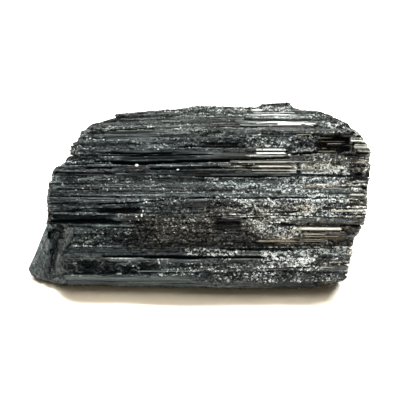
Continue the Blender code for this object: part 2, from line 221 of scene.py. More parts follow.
STAINED = [
    (21.8, 13.2, 5.6, 1.3, 1), (28.5, 13.6, 14, 1.6, 0.7), (20.4, 17.6, 9.6, 4, 0.1),
    (13, 40.2, 4.6, 0.8, 0.7), (11, 37.5, 6, 0.6, 0.8), (21, 35.6, 6.6, 1.4, 0.4), (39, 42, 4.6, 2.2, 0.6),
    (46.6, 28, 3, 18, 0.5), (-17.6, 34.6, 2.8, 0.8, 0.6), (35, 16.4, 8, 2.6, 0.6),
    (19.4, 22.4, 1.8, 1, 0.8), (30.3, 22.9, 1.8, 1.5, 0.8), (37.5, 29.7, 7.5, 0.7, 0.6),
    (19.5, 36.2, 9, 2.2, 0.5), (34, 36.2, 9, 2, 0.45), (16, 22.2, 14, 1.8, 0.35), (12, 18.6, 10, 2.6, 0.3),
    (-5, 50, 42, 5, 0.16), (-4, 16, 12, 4.6, 0.4),
]
GREENISH = [
    (0, 45, 60, 10, 0.45), (38, 42, 12, 4, 0.3), (24, 30, 24, 3.5, 0.5), (-28, 20, 25, 24, 1),
    (-16, 28.6, 18, 4.4, 0.5), (-12, 17.5, 12, 5, 0.3), (-21.6, 1.9, 21, 1.6, 1),
]
GLOSSY = [
    (-10, 48, 26, 4.4, 0.05), (24.3, 48, 10.9, 0.6, 1), (20.8, 40, 4.2, 0.8, 1), (14, 35.2, 14, 2.4, 0.85),
    (-5.5, 38.5, 20, 1.6, 0.6), (-21.6, 1.9, 19.6, 1.4, 0.4), (-24.8, 6.1, 14.9, 2.5, 0.6),
    (34.9, 16.9, 6.8, 0.7, 1),
]
SMOOTH = [
    (-21.6, 1.9, 19.6, 1.4, 1), (-19.8, 44.6, 5.6, 1.1, 1), (-5.5, 38.4, 20, 1.5, 0.8),
    (-24.8, 6.1, 14.9, 2.5, 0.5), (24.3, 48, 10.9, 0.8, 0.85), (20.8, 39.8, 4.4, 1, 0.9),
    (14, 35.6, 14, 2.4, 0.6),
]
MATTE = [
    (-20, 47.5, 19, 4.4, 0.8), (-20, 42.4, 16, 3.2, 0.7), (-22, 30, 18, 3, 0.4),
]
# The stone's own tones, with painted shade in dark recesses and painted highlight in pale crest strips.
TONES_AND_PAINTED_LIGHT = [
    (4.8, 49.2, 40, 4.4, 0.44), (12, 51.3, 18.2, 1.5, 0.52), (25, 49.6, 11, 1.7, 0.6),
    (0.5, 51.4, 5.5, 1.5, 0.45), (23, 52.5, 2.8, 0.3, 0.8), (40.3, 47.2, 1.8, 0.7, 0.95),
    (12, 45.8, 27, 1.3, 0.54), (19, 45.8, 11, 1.3, 0.64), (-11.3, 42.7, 6, 1.4, 0.48),
    (-19.8, 44.6, 5.6, 1.2, 0.34), (15.5, 43.3, 10, 2.3, 0.39), (-23, 42.2, 6, 1.8, 0.47),
    (30.5, 42.2, 4.1, 2.3, 0.22), (-33.5, 41.9, 7.3, 5.3, 0.42), (-5.5, 38.2, 20.8, 1.3, 0.03),
    (9, 39, 8.2, 0.8, 0.56), (6.8, 35, 9.2, 2.2, 0.14), (-21.6, 34.3, 19.3, 1.5, 0.24),
    (-34, 25.8, 9, 3.8, 0.2), (-14.2, 28.4, 19.4, 2.8, 0.46), (-17, 31.3, 25, 1.2, 0.5),
    (0, 34.4, 6.4, 1.2, 0.06), (9, 36, 4, 1, 0.36), (24.3, 29.3, 19.9, 2.9, 0.65),
    (38.4, 35.6, 10.8, 3.8, 0.68), (36.5, 34, 8.6, 1.3, 0.92), (35, 39.4, 7, 0.9, 0.7),
    (46.4, 42.6, 2.9, 3.6, 0.6), (38.3, 42.1, 4, 2.4, 0.04), (42.9, 42.4, 0.3, 3.2, 0.7),
    (47, 32.4, 2.2, 1.2, 0.03), (28.6, 34.9, 0.45, 2, 0.04), (45.7, 27.5, 3.2, 12.5, 0.4),
    (22.5, 31.3, 5.5, 1.2, 0.5), (-11, 31, 6, 1.3, 0.55), (-34.6, 28.6, 6.5, 1.3, 0.34),
    (4, 28.4, 9, 1.4, 0.6), (24.9, 23.5, 20.5, 2.5, 0.6), (12, 25, 7, 1, 0.7), (20, 22, 1, 0.8, 0.8),
    (12, 22.2, 6, 1.2, 0.5), (-6, 24.6, 16, 2.2, 0.42), (-6, 22.4, 12, 1.4, 0.32),
    (-35, 20.1, 9.1, 1.5, 0.06), (-23.4, 22.4, 6, 1.2, 0.03), (-6.9, 16.7, 19.3, 4.1, 0.31),
    (-12, 20, 12, 1.2, 0.28), (20.3, 18, 8.2, 3, 0.61), (26, 18.4, 2.4, 0.5, 0.12),
    (19.4, 22.4, 1.8, 1, 0.75), (30.3, 22.9, 1.8, 1.5, 0.75), (14.6, 19, 2.2, 1.6, 0.42),
    (11, 16.4, 4.6, 1.4, 0.3), (24, 22.6, 5, 0.9, 0.42), (34.5, 19.4, 7.3, 1.5, 0.45),
    (43, 17.2, 2.2, 1.3, 0.14), (27.3, 13.1, 15.5, 1.3, 0.2), (8.3, 18.2, 3.5, 2, 0.2),
    (9.1, 13.7, 8.8, 1.3, 0.36), (-26.5, 15, 11.1, 2.9, 0.27), (-23, 13.6, 5.6, 1.4, 0.16),
    (23, 13.9, 6.4, 0.9, 0.66), (16, 11.7, 14, 0.5, 0.03), (-21.6, 10.6, 17.5, 1.5, 0.26),
    (3.9, 10.6, 8.2, 1.3, 0.62), (27, 9.2, 8.4, 2.9, 0.82), (36.4, 10.4, 6.4, 1.2, 0.72),
    (38.4, 7.4, 4.6, 1.4, 0.38), (-33, 10.8, 8, 1.5, 0.52), (-19, 11, 8, 0.7, 0.42),
    (-24.8, 6.1, 14.9, 2.5, 0.16), (-36, 5.2, 4, 2, 0.08), (-21.5, 8.2, 4.4, 0.5, 0.5),
    (4.5, 5.9, 14.6, 2.6, 0.42), (-0.5, 7.8, 5.5, 1.1, 0.3), (31.1, 3.7, 12, 1.9, 0.4),
    (-25.7, 2, 15.8, 1.2, 0.51), (12.9, 1.1, 22.8, 0.7, 0.36),
]

print(len(GRANULAR), "granular patches,", len(TONES_AND_PAINTED_LIGHT), "shades")

# %% [markdown]
# A patch is painted with a soft edge, a little ragged where noise bends it, as a change in stone is never a
# straight cut. Patches of one kind don't add up: the strongest wins. Only shades cover each other.

# %% Painting the patches
def share_of(patch, across, high, loose=0.0):
    """How much a place belongs to a patch: 1 inside, 0 well outside. Noise in loose makes its edge ragged."""
    outside = np.maximum(np.abs(across - patch[0]) / patch[2], np.abs(high - patch[1]) / patch[3])
    return np.clip((1.3 - outside - 0.45 * loose) / 0.5, 0, 1)


def strongest(patches, across, high, loose=0.0):
    """The strongest of these patches at each place, from 0 to 1."""
    most = np.zeros(np.shape(across))
    for patch in patches:
        most = np.maximum(most, patch[4] * share_of(patch, across, high, loose))
    return most


def painted(patches, ground, across, high, loose=0.0):
    """Values laid one over the other on a ground value."""
    value = np.full(np.shape(across), ground)
    for patch in patches:
        share = share_of(patch, across, high, loose)
        value = value * (1 - share) + patch[4] * share
    return value


print("share at a patch's middle, edge and beyond:", share_of((0, 0, 1, 1), np.array([0, 1, 1.5]), 0))

# %% [markdown]
# The surface also goes in and out. Thin crevices run between the prisms: each is (width, depth, places),
# and the places are joined by straight runs. Their colour is later painted much darker, as painted shade
# where no light reaches, and so is that of the hollows. Hollows and swells are patches again, whose
# strength is a depth or a height in millimetres. The last list says where the glassy stone is chipped like
# a shell, as glass is.

# %% Crevices, hollows, swells and chips
CREVICES = [
    (0.5, 1, [(-25.4, 46), (-20, 46.2), (-11.3, 46.6), (1.6, 47.2)]),
    (0.55, 1, [(13.5, 49), (32.6, 49)]),
    (0.4, 0.5, [(1.8, 49.5), (13.5, 49.4)]),
    (0.35, 0.4, [(0.4, 46.9), (42.8, 46.7)]),
    (0.6, 1.2, [(-7, 41.6), (-4.9, 41), (0.4, 41.3), (11.5, 41.3)]),
    (1.1, 1, [(29.6, 44.3), (33, 44.3)]),
    (0.8, 1.7, [(27, 39.1), (29.6, 39.4), (33.7, 39.7), (35.2, 40.3)]),
    (0.55, 1.1, [(-39.2, 35.9), (-31.8, 35.9)]),
    (0.7, 1.4, [(-31.9, 36.9), (-25.4, 36.7)]),
    (1.2, 1.8, [(-25.6, 36.5), (-20, 36.3), (-15, 36.3)]),
    (0.95, 1.8, [(-16, 36.3), (-9.9, 36.6), (-2.6, 36.9), (4.8, 37.1), (9, 37.2)]),
    (0.6, 0.8, [(-26.6, 39.4), (-16, 39.2), (-8, 39.3)]),
    (0.4, 0.6, [(-20, 38.4), (4, 38.9)]),
    (0.6, 0.9, [(9, 37.2), (18, 37.6), (25.6, 38)]),
    (0.4, 0.9, [(12, 47.1), (35, 47.1)]),
    (0.4, 0.8, [(16.5, 39.9), (25.2, 39.9)]),
    (0.6, 1, [(-32.4, 34.9), (-25.4, 34.9)]),
    (0.9, 0.9, [(-14, 34.7), (0, 34.9), (6, 35)]),
    (0.4, 0.8, [(0.4, 35.1), (15.6, 34.9), (27.6, 34.7)]),
    (0.6, 1.3, [(-1.1, 32.5), (27.6, 32.4)]),
    (0.4, 0.6, [(-42.9, 33.7), (-31.8, 33.4)]),
    (0.4, 0.5, [(-42, 30.2), (-24.5, 30.2)]),
    (0.5, 0.7, [(-40.6, 28.7), (-28.9, 28.6)]),
    (0.5, 0.7, [(-42, 26.7), (-23, 26.4)]),
    (0.5, 0.9, [(-28.9, 24.3), (-21.2, 24.6), (-9, 25.6), (1.8, 26.1), (27.3, 26.1), (42.5, 26.2)]),
    (0.4, 0.7, [(1.8, 20.5), (6.8, 20.8), (16.5, 21.1), (29.6, 20.8), (42.8, 20.2)]),
    (0.7, 1, [(23.5, 21.9), (28.4, 22.1)]),
    (0.5, 0.8, [(35.5, 23.2), (43.6, 22.9)]),
    (1.2, 2, [(-15.1, 11.6), (1.8, 11.8), (11.8, 11.2), (26.7, 11.1), (29.8, 11.5)]),
    (0.7, 1.6, [(-28.6, 9.2), (-14.8, 9)]),
    (1.1, 2, [(-15.5, 9), (-8, 8.9), (1.8, 8.8)]),
    (0.8, 1.7, [(1, 8.8), (19.1, 8.8)]),
    (0.6, 0.8, [(20.5, 18.6), (28, 18.3)]),
    (0.7, 1.2, [(44.8, 39.3), (48.4, 39)]),
    (0.5, 1.2, [(44.6, 43.9), (47.5, 43.8)]),
    (0.4, 0.9, [(44.5, 42.1), (48.2, 41.9)]),
    (0.5, 1, [(45, 37.5), (48.8, 37.4)]),
    (0.4, 0.9, [(44.5, 35.5), (48.9, 35.4)]),
    (0.5, 1, [(44, 29.1), (48.6, 29.2)]),
    (0.4, 1, [(44, 25.4), (48.6, 25.2)]),
    (0.5, 1, [(43, 21.1), (48, 21.2)]),
    (0.5, 1, [(40.5, 18), (46.6, 18.1)]),
    (0.5, 0.8, [(13, 20.2), (20, 20.6)]),
    (0.4, 0.9, [(16.5, 5.3), (32.5, 5.9)]),
    (0.35, 0.5, [(19.4, 7.7), (26.7, 7.4)]),
    (0.5, 0.8, [(-15.1, 17.3), (-13, 15.2), (-11.3, 12.9)]),
    (0.4, 0.6, [(-27.4, 17.6), (-14.2, 17.2)]),
]
HOLLOWS = [
    (38.2, 42, 3.8, 2, 1.5), (6.4, 41.6, 5.2, 0.7, 0.9), (-35, 19.9, 9, 1.2, 1.3),
    (8.5, 18.2, 3.4, 1.8, 0.7), (7.5, 13.8, 8, 0.8, 0.25), (-37.5, 45.2, 1.6, 0.5, 0.6),
    (47, 32.4, 2.2, 1.2, 1), (-23.6, 22.4, 5.8, 0.8, 1), (-33, 6.3, 2.2, 1.3, 0.7),
    (-26.6, 6.2, 1.8, 1.2, 0.6), (-14.6, 6, 2.2, 1.2, 0.6),
]
SWELLS = [
    (23.5, 53, 4, 1.4, 0.8), (3, 52.4, 6, 0.9, 0.4), (37.5, 50.4, 4, 1.2, 0.5), (46.2, 45.4, 1.5, 1.6, 0.8),
    (-34.6, 44.8, 1.6, 0.8, 0.6), (42.9, 42.4, 0.35, 3.2, 0.7), (30.4, 42.2, 4, 1.8, 0.7),
    (-3.6, 42.5, 2.8, 1, 0.5), (-26.5, 14.8, 12.4, 2.8, 0.3),
]
SHELLS = [(-24.8, 6.1, 14.9, 2.5, 1.0), (-5.0, 5.4, 6.0, 2.2, 0.5), (12.0, 4.4, 12.0, 1.6, 0.35)]

print(len(CREVICES), "crevices,", len(HOLLOWS), "hollows,", len(SWELLS), "swells")

# %% [markdown]
# A crevice is deepest along its line. The chips come from smooth noise: where it changes sign there is a
# sharp rim, whose colour is later painted lighter as a painted highlight, and between rims the surface is
# hollow like the inside of a shell.

# %% Depth of crevices and chips
def line_share(across, high, width, places):
    """How near a place is to a drawn line: 1 on its middle, 0 at its edge and beyond."""
    nearest = np.full(np.shape(across), np.inf)
    for (ax, ay), (bx, by) in zip(places, places[1:]):
        run_x, run_y = bx - ax, by - ay
        part = ((across - ax) * run_x + (high - ay) * run_y) / (run_x**2 + run_y**2)
        part = np.clip(part, 0, 1)
        gone = np.hypot(across - ax - run_x * part, high - ay - run_y * part)
        nearest = np.minimum(nearest, gone)
    return np.clip(1 - nearest / (width * 0.5), 0, 1)


def sunk_depth(across, high):
    """How deep crevices, hollows and shell-shaped pits go at each place."""
    depth = np.zeros(across.shape)
    for width, deep, places in CREVICES:
        depth = np.maximum(depth, deep * np.sqrt(line_share(across, high, width, places)))
    wander = 0.5 * smooth_noise(np.stack([across, high, 0 * high], -1), (1.3, 1.0, 1), 83)
    return np.maximum(depth, strongest(HOLLOWS, across, high, wander))


def shells(across, high):
    """Shell-shaped chips: how deep each place is chipped, and how near it is to a sharp rim, 0 to 1."""
    flat = np.stack([across + 0.3 * high, high, 0 * high], -1)
    chipped = smooth_noise(flat, (2.4, 2.0, 1), 81) + 0.4 * smooth_noise(flat, (0.9, 0.8, 1), 82)
    here = strongest(SHELLS, across, high)
    return here * np.minimum(np.abs(chipped) * 2, 1), here * np.exp(-((chipped / 0.1) ** 2))


print("depth in the main crevice:", round(float(sunk_depth(np.array([8.0]), np.array([11.5]))[0]), 1), "mm")

# %% [markdown]
# The striations are the mark of tourmaline. Here each one is a rod in a height field: it has a place
# round the girdle, a width, a rise, a start and an end, and wherever rods overlap the highest wins, as
# real prisms stand in front of each other. Broad rods are laid first, then finer ones on top. The listed
# rods have a place of their own, because they are broad, bright and cut off short. The pale tone of the
# brightest is partly their own colour and partly a painted highlight. Each is (start, end, high, half
# width, rise, tilt, tone, taper).

# %% Rods in the height field
# The pale tones of the brightest rods are partly painted highlight.
NAMED_RODS = [
    (23, 35.4, 47.65, 0.42, 0.5, -0.04, 0.9, 4), (14, 32.5, 48.15, 0.32, 0.4, -0.04, 0.92, 12),
    (12, 30, 47.4, 0.27, 0.4, -0.06, 0.82, 14), (17, 33.5, 46.85, 0.2, 0.36, -0.06, 0.6, 6),
    (1, 16, 47.8, 0.2, 0.3, -0.04, 0.5, 6), (3, 13, 47.2, 0.18, 0.3, -0.04, 0.45, 5),
    (18.5, 26.2, 53.5, 0.5, 0.35, 0, 0.36, 1.5), (20.4, 26.3, 52.35, 0.3, 0.35, 0, 0.95, 1),
    (15.6, 18.8, 51.6, 0.28, 0.35, 0, 0.85, 0.6), (14, 29.6, 50.2, 0.2, 0.34, -0.04, 0.85, 5),
    (16, 28, 50.9, 0.18, 0.34, -0.04, 0.8, 5), (0.4, 43.6, 46.2, 0.24, 0.2, -0.1, 0.5, 6),
    (16.7, 24.9, 40.2, 0.28, 0.6, -0.25, 0.95, 0.2), (16.7, 24.9, 39.05, 0.42, 0.6, -0.3, 0.84, 0.3),
    (13.5, 25.2, 38.4, 0.3, 0.35, -0.3, 0.6, 2), (6.2, 16.6, 40.2, 0.6, 0.4, 0.1, 0.12, 1),
    (9.1, 27.8, 36.6, 0.17, 0.5, -0.3, 0.72, 3), (12, 27.8, 35.95, 0.15, 0.45, -0.3, 0.6, 3),
    (15.6, 27.9, 35.35, 0.16, 0.45, -0.3, 0.7, 2), (15, 27.8, 34.1, 0.17, 0.45, -0.3, 0.82, 2),
    (15.6, 27.4, 33.5, 0.16, 0.4, -0.3, 0.74, 2), (15.9, 26.7, 32.95, 0.15, 0.35, -0.3, 0.66, 2),
    (27.4, 40.2, 17.3, 0.5, 0.8, 0, 0.62, 0.3), (28.4, 36, 15.7, 0.35, 0.5, 0, 0.5, 3),
    (16.5, 28.4, 13.5, 0.45, 0.5, 0, 0.52, 2), (28.7, 36.9, 13.8, 0.6, 0.5, 0, 0.5, 2),
    (44.7, 47.2, 45.1, 0.4, 0.8, -0.1, 0.85, 0.5), (45, 47.8, 42.5, 0.3, 0.8, -0.2, 0.95, 0.6),
    (43.6, 47.9, 41, 0.8, 0.6, 0, 0.62, 0.4), (44.2, 48.5, 36.5, 0.35, 0.6, -0.1, 0.6, 1),
    (44.4, 48.4, 30.6, 0.4, 0.6, -0.1, 0.55, 0.6), (43.4, 48, 26.9, 0.35, 0.6, -0.1, 0.6, 0.6),
    (42.6, 47.6, 22.5, 0.4, 0.6, -0.1, 0.6, 0.6),
]

NAMED_SKEW = 0.1


def lay_rod(height, tone, girth, x, centre, half_width, rise, start, end, tilt, skew, value, taper):
    """Raises one flat-topped rod in the height field, and gives it its tone where it is the highest."""
    pointed = np.clip(np.minimum(x - start, end - x) / taper, 0.0025, 1) ** 0.5
    off = (girth - centre) / (half_width * pointed)
    inside = (np.abs(off) < 1) & (x > start + skew * off) & (x < end)
    shape = rise * np.minimum(1.0, 3.0 * (1 - np.abs(off))) * (1 + tilt * off)
    wins = inside & (shape > height)
    return np.where(wins, shape, height), np.where(wins, value, tone)


def rod_field(x, girth, count, widths, rises, lengths, span, seed):
    """The highest of many random rods at each place: height and tone, both 0 where there is none."""
    rng = np.random.default_rng(seed)
    height, tone = np.zeros(x.shape), np.zeros(x.shape)
    line_girth = girth[:, 0] % girdle_length
    for _ in range(count):
        half_width = rng.uniform(*widths) / 2
        rise = rng.uniform(*rises)
        length = rng.uniform(*lengths)
        centre = rng.uniform(0, girdle_length)
        start = rng.uniform(*span) - length * 0.5
        tilt, skew = rng.uniform(-0.5, 0.5), rng.uniform(-0.6, 0.6)
        value, taper = rng.uniform(-1, 1), rng.uniform(0.2, 0.4 * length)
        near = np.nonzero(np.abs(line_girth - centre) < half_width)[0]
        if len(near):
            rows = slice(near[0], near[-1] + 1)
            rod = (centre, half_width, rise, start, start + length, tilt, skew, value, taper)
            height[rows], tone[rows] = lay_rod(
                height[rows], tone[rows], line_girth[rows][:, None], x[rows], *rod
            )
    return height, tone


def named_rods(across, high):
    """Height and tone of the listed rods at each place, both 0 where there is none."""
    height, tone = np.zeros(across.shape), np.zeros(across.shape)
    for start, end, centre, half_width, rise, tilt, value, taper in NAMED_RODS:
        rod = (centre, half_width, rise, start, end, tilt, NAMED_SKEW, value, taper)
        height, tone = lay_rod(height, tone, high, across, *rod)
    return height, tone


print(len(NAMED_RODS), "rods with a place of their own")

# %% [markdown]
# The skin is made of closed sheets. A UV sphere is already what is wanted: lines from pole to pole,
# closed at both. Its poles become the middles of the two broken ends, and its lines become the lines
# along the prisms. Each point is found by a ray: at the side from outside straight in, and on the ends
# along X. The front and the top get a sheet each and most of the lines, because a piece may only have so
# many faces; a third, coarser sheet covers the back and the base. Neighbours share their border line.

# %% Where the skin's points are
POLE_Y, POLE_Z = 1.0, 6.0
STAND_OFF, DEEPEST = 5.0, 4.2
FAR = 80.0
INSET, MARGIN = 1.1, 0.1
BASE_EDGE, MIDDLE_EDGE, BACK_EDGE = -1.2, 33.0, 67.2
FINE_STATIONS, FINE_RINGS = 300, 40


def end_x(y, z, side):
    """Where a line along X at this Y and Z meets the lump, from the left (-1) or the right (1)."""
    distance = first_hit((side * FAR, y, z), (-side, 0, 0), FAR * 2)
    return None if distance is None else side * (FAR - distance)


def end_line(places, side):
    """The X of the lump's end for each place, with the odd miss filled from its neighbours."""
    found = [end_x(y, z, side) for y, z in places]
    known = [k for k, x in enumerate(found) if x is not None]
    return np.interp(range(len(found)), known, [found[k] for k in known])


def skin_points(girths, stations, end_rings):
    """The skin's points: an array of lines x rings x 3 in millimetres, and each line's outward direction."""
    place, out = on_girdle(girths)
    inset = place - out * INSET
    left, right = end_line(inset, -1), end_line(inset, 1)
    points = np.zeros((len(girths), stations + 2 * end_rings, 3))
    share = (np.arange(stations) + 0.5) / stations
    ring_share = (np.arange(end_rings) + 0.4) / end_rings
    for k, ((y, z), (oy, oz)) in enumerate(zip(place, out)):
        xs = left[k] + MARGIN + (right[k] - left[k] - 2 * MARGIN) * share
        for j, x in enumerate(xs):
            start = (x, y + oy * STAND_OFF, z + oz * STAND_OFF)
            gone = first_hit(start, (0, -oy, -oz), STAND_OFF + DEEPEST)
            gone = STAND_OFF + DEEPEST if gone is None else gone
            rise = STAND_OFF - gone
            points[k, end_rings + j] = (x, y + oy * rise, z + oz * rise)
        for side, edge, rings in (
            (-1, left[k], range(end_rings - 1, -1, -1)),
            (1, right[k], range(end_rings + stations, stations + 2 * end_rings)),
        ):
            for ring, inward in zip(rings, ring_share):
                py = inset[k][0] + (POLE_Y - inset[k][0]) * inward
                pz = inset[k][1] + (POLE_Z - inset[k][1]) * inward
                x = end_x(py, pz, side)
                points[k, ring] = (edge if x is None else x, py, pz)
    return points, out


SHEETS = {
    "skin_front": (BASE_EDGE, MIDDLE_EDGE, 206, FINE_STATIONS, FINE_RINGS),
    "skin_top": (MIDDLE_EDGE, BACK_EDGE, 206, FINE_STATIONS, FINE_RINGS),
    "skin_back": (BACK_EDGE, girdle_length + BASE_EDGE, 150, 200, 36),
}
bare = {}
for name, (first, last, count, stations, end_rings) in SHEETS.items():
    girths = np.linspace(first, last, count)
    bare[name] = (*skin_points(girths, stations, end_rings), girths, stations, end_rings)
    print(name, bare[name][0].shape)

# %% [markdown]
# Each point of the skin carries six values, which the finish reads later: how granular, stained, pale,
# glossy and green the stone is there, and how much its tone varies. The named places belong to the best
# side alone. On the back and the base, noise decides where the stone is granular or pale. Where a place is
# one smooth prism face, the skin is first averaged over its neighbours.

# %% Values on the skin
VALUES = ("grain", "stain", "shade", "gloss", "green", "contrast")


def levelled(grid, passes):
    """A grid of numbers, averaged this many times with the numbers beside, above and below."""
    grid = grid.copy()
    for _ in range(passes):
        grid[1:-1] = (grid[:-2] + 2 * grid[1:-1] + grid[2:]) / 4
        grid[:, 1:-1] = (grid[:, :-2] + 2 * grid[:, 1:-1] + grid[:, 2:]) / 4
    return grid


def planed(points, out, share):
    """Evens out the skin where it is one smooth prism face."""
    rise = points[..., 1] * out[:, None, 0] + points[..., 2] * out[:, None, 1]
    lift = (levelled(rise, 60) - rise) * share
    points = points.copy()
    points[..., 1] += out[:, None, 0] * lift
    points[..., 2] += out[:, None, 1] * lift
    return points


def bare_values(points, across, high, loose, known, smooth):
    """The six values at each place before rods and crevices change them, and how matte it is."""
    wander = smooth_noise(points, (9, 4, 4), 5)
    grain = strongest(GRANULAR, across, high, loose) * known + (1 - known) * (0.5 + wander)
    grain = np.clip(grain + 0.3 * wander, 0.25, 1) * (1 - smooth)
    stain = strongest(STAINED, across, high, loose) * known
    drift = smooth_noise(points, (14, 5, 5), 6)
    shade = painted(TONES_AND_PAINTED_LIGHT, 0.4, across, high, loose) * known + (1 - known) * (0.34 + 0.14 * drift)
    matte = strongest(MATTE, across, high, loose) * known
    contrast = (1 - 0.3 * matte) * (0.75 + grain * (0.35 + 1.2 * shade)) * (1 - 0.7 * smooth)
    blotches = smooth_noise(points, (3.0, 1.2, 1.2), 71) + 0.8 * smooth_noise(points, (1.3, 0.7, 0.7), 72)
    shade += grain * np.tanh(2.2 * blotches) * (0.06 + 0.55 * np.clip(shade - 0.3, 0, 0.45))
    gloss = painted(GLOSSY, 0.35, across, high, loose) * known + 0.35 * (1 - known)
    green = painted(GREENISH, 0.1, across, high, loose) * known + 0.5 * (1 - known)
    return grain, stain, shade, gloss, green, contrast, matte


print(len(VALUES), "values at each point")

# %% [markdown]
# Now the height of every point over the imported solid's surface: rods and crevices along the sides, a
# mosaic of broken columns on the ends, and grains where the patches say so. Most heights stay within half
# a millimetre, and only crevices and hollows go deeper, so the main forms stay those of the solid. A rod
# or a crevice changes the values too: each prism has its own tone, crevices and hollows are painted darker
# as painted shade, the rims of chips are painted lighter as painted highlight, and crests are painted a
# little lighter and grooves a little darker, as painted light and shade.

# %% Heights on the skin
HIGHEST = 29.5


def random_side(points, girth, crumbs, grain, smooth, matte):
    """Heights on the sides, from random rods, threads and broken facets, the rods' tone, and the facets."""
    x = points[..., 0]
    broad, broad_tone = rod_field(x, girth, 620, (1.0, 2.8), (0.1, 0.5), (14, 60), (-55, 50), 11)
    fine, fine_tone = rod_field(x, girth, 5200, (0.36, 0.9), (0.05, 0.26), (2, 24), (-55, 50), 12)
    stubs, stub_tone = rod_field(x, girth, 420, (0.7, 2.0), (0.3, 0.9), (2, 8), (42, 52), 19)
    flat = np.stack([x, girth, 0 * x], -1)
    threads = smooth_noise(flat, (16, 0.5, 1), 21) + 0.6 * smooth_noise(flat, (7, 0.36, 1), 22)
    lumps = mosaic(x, girth, 2.6, 1.9, 1.1, 51)
    facets = mosaic(x, girth, 1.1, 0.8, 1.6, 13)
    side = (broad * (1 - 0.4 * grain) + fine * (1 - 0.5 * grain)) * (1 - smooth) * (1 - 0.4 * matte) - 0.36
    side = np.maximum(side, stubs - 0.3)
    side += threads * 0.09 * (1 - 0.7 * grain) * (1 - smooth)
    side += grain * (0.3 * lumps + 0.22 * facets + 0.16 * crumbs) + 0.03 * crumbs * (1 - smooth)
    return side, 0.08 * broad_tone + 0.12 * fine_tone + 0.16 * stub_tone, facets


def evened(height, reach):
    """Heights averaged over this many lines to each side."""
    padded = np.pad(height, ((reach, reach), (0, 0)), mode="edge")
    return sum(padded[k : k + len(height)] for k in range(2 * reach + 1)) / (2 * reach + 1)


def relief(points, out, girths, stations, end_rings):
    """Moves the points by the height field, and returns their values, one array for each name in VALUES."""
    sides, right_end = slice(end_rings, end_rings + stations), slice(end_rings + stations, None)
    girth = np.repeat(girths[:, None], points.shape[1], axis=1)
    on_end = np.ones(girth.shape)
    on_end[:, sides] = 0
    across, high = seen(points)
    known = np.clip((BACK_EDGE - girth) / 1.5, 0, 1) * np.clip((girth - BASE_EDGE) / 1.0, 0, 1)
    loose = smooth_noise(points, (4, 1.6, 1.6), 73)
    smooth = strongest(SMOOTH, across, high) * known
    points = points.copy()
    points[:, sides] = planed(points[:, sides], out, smooth[:, sides])
    values = bare_values(points, across, high, loose, known, smooth)
    grain, stain, shade, gloss, green, contrast, matte = values
    chip_depth, chip_rim_highlight = shells(across, high)
    sunk = sunk_depth(across, high) * known
    crumbs = smooth_noise(points, (0.8, 0.6, 0.6), 14) + 0.6 * smooth_noise(points, (0.45, 0.36, 0.36), 15)
    side, tone, facets = random_side(points, girth, crumbs, grain, smooth, matte)
    side += strongest(SWELLS, across, high) * known
    # Painted highlight: the rims of the chips are made lighter. The ends take a random tone from their
    # facets.
    shade += 0.5 * known * chip_rim_highlight + np.where(on_end, 0.1 * facets, tone) * (1 - 0.7 * smooth)

    named, named_tone = named_rods(across, high)
    is_named = (named > 0) & (known > 0.5)
    side = np.where(is_named, named + side * 0.25, side) - (sunk + 0.5 * chip_depth * known)
    # The listed rods take their own tone, which on the brightest is partly a painted highlight.
    shade = np.where(is_named, named_tone, shade)
    gloss = np.where(is_named, 0.9, gloss * (1 - 0.6 * matte)) * (1 - 0.8 * on_end)
    green = np.where(is_named, 0.0, green)
    contrast = np.where(is_named, 0.3, contrast)
    grain = np.where(is_named, 0.1, grain)
    # Painted light and shade: crests are made lighter and grooves darker, beside the real relief.
    shade += 1.3 * np.clip(side - evened(side, 3), -0.2, 0.2) * (1 - 0.4 * grain)
    # Painted shade: crevices and hollows are darkened, as no light gets out of them.
    shade *= 1 - 0.85 * np.clip(sunk / 0.9, 0, 1) * ~is_named
    grain = np.maximum(grain * (1 - 0.6 * np.clip(sunk / 0.9, 0, 1)), 0.7 * on_end)

    x, y, z = (points[..., k].copy() for k in range(3))
    to_end = np.minimum(x - x[:, sides].min(1)[:, None], x[:, sides].max(1)[:, None] - x)
    side -= 0.6 * np.clip(1 - to_end / 1.1, 0, 1) ** 2
    columns, chips = mosaic(y, z, 1.7, 1.4, 0.9, 16), mosaic(y, z, 0.7, 0.6, 1.4, 17)
    end = 0.42 * columns + 0.2 * chips + 0.08 * crumbs - 0.45
    points[:, sides, 1] += out[:, None, 0] * side[:, sides]
    points[:, sides, 2] += out[:, None, 1] * side[:, sides]
    points[:, :end_rings, 0] -= end[:, :end_rings]
    points[:, right_end, 0] += end[:, right_end]
    points[..., 2] = np.clip(points[..., 2], 0.0, HIGHEST)
    return points, grain, stain, np.clip(shade, 0.02, 1.1), gloss, green, contrast


skins = {name: relief(*parts) for name, parts in bare.items()}
print("relief made")

# %% [markdown]
# The outline shows more than anything else where each end breaks off and how the crest runs, so it is
# known best. At each height the ends are shifted by what the skin still lacks there, and the crest is
# brought down to its line. The shift fades out along the lump, and it leaves room for the wing's own face.

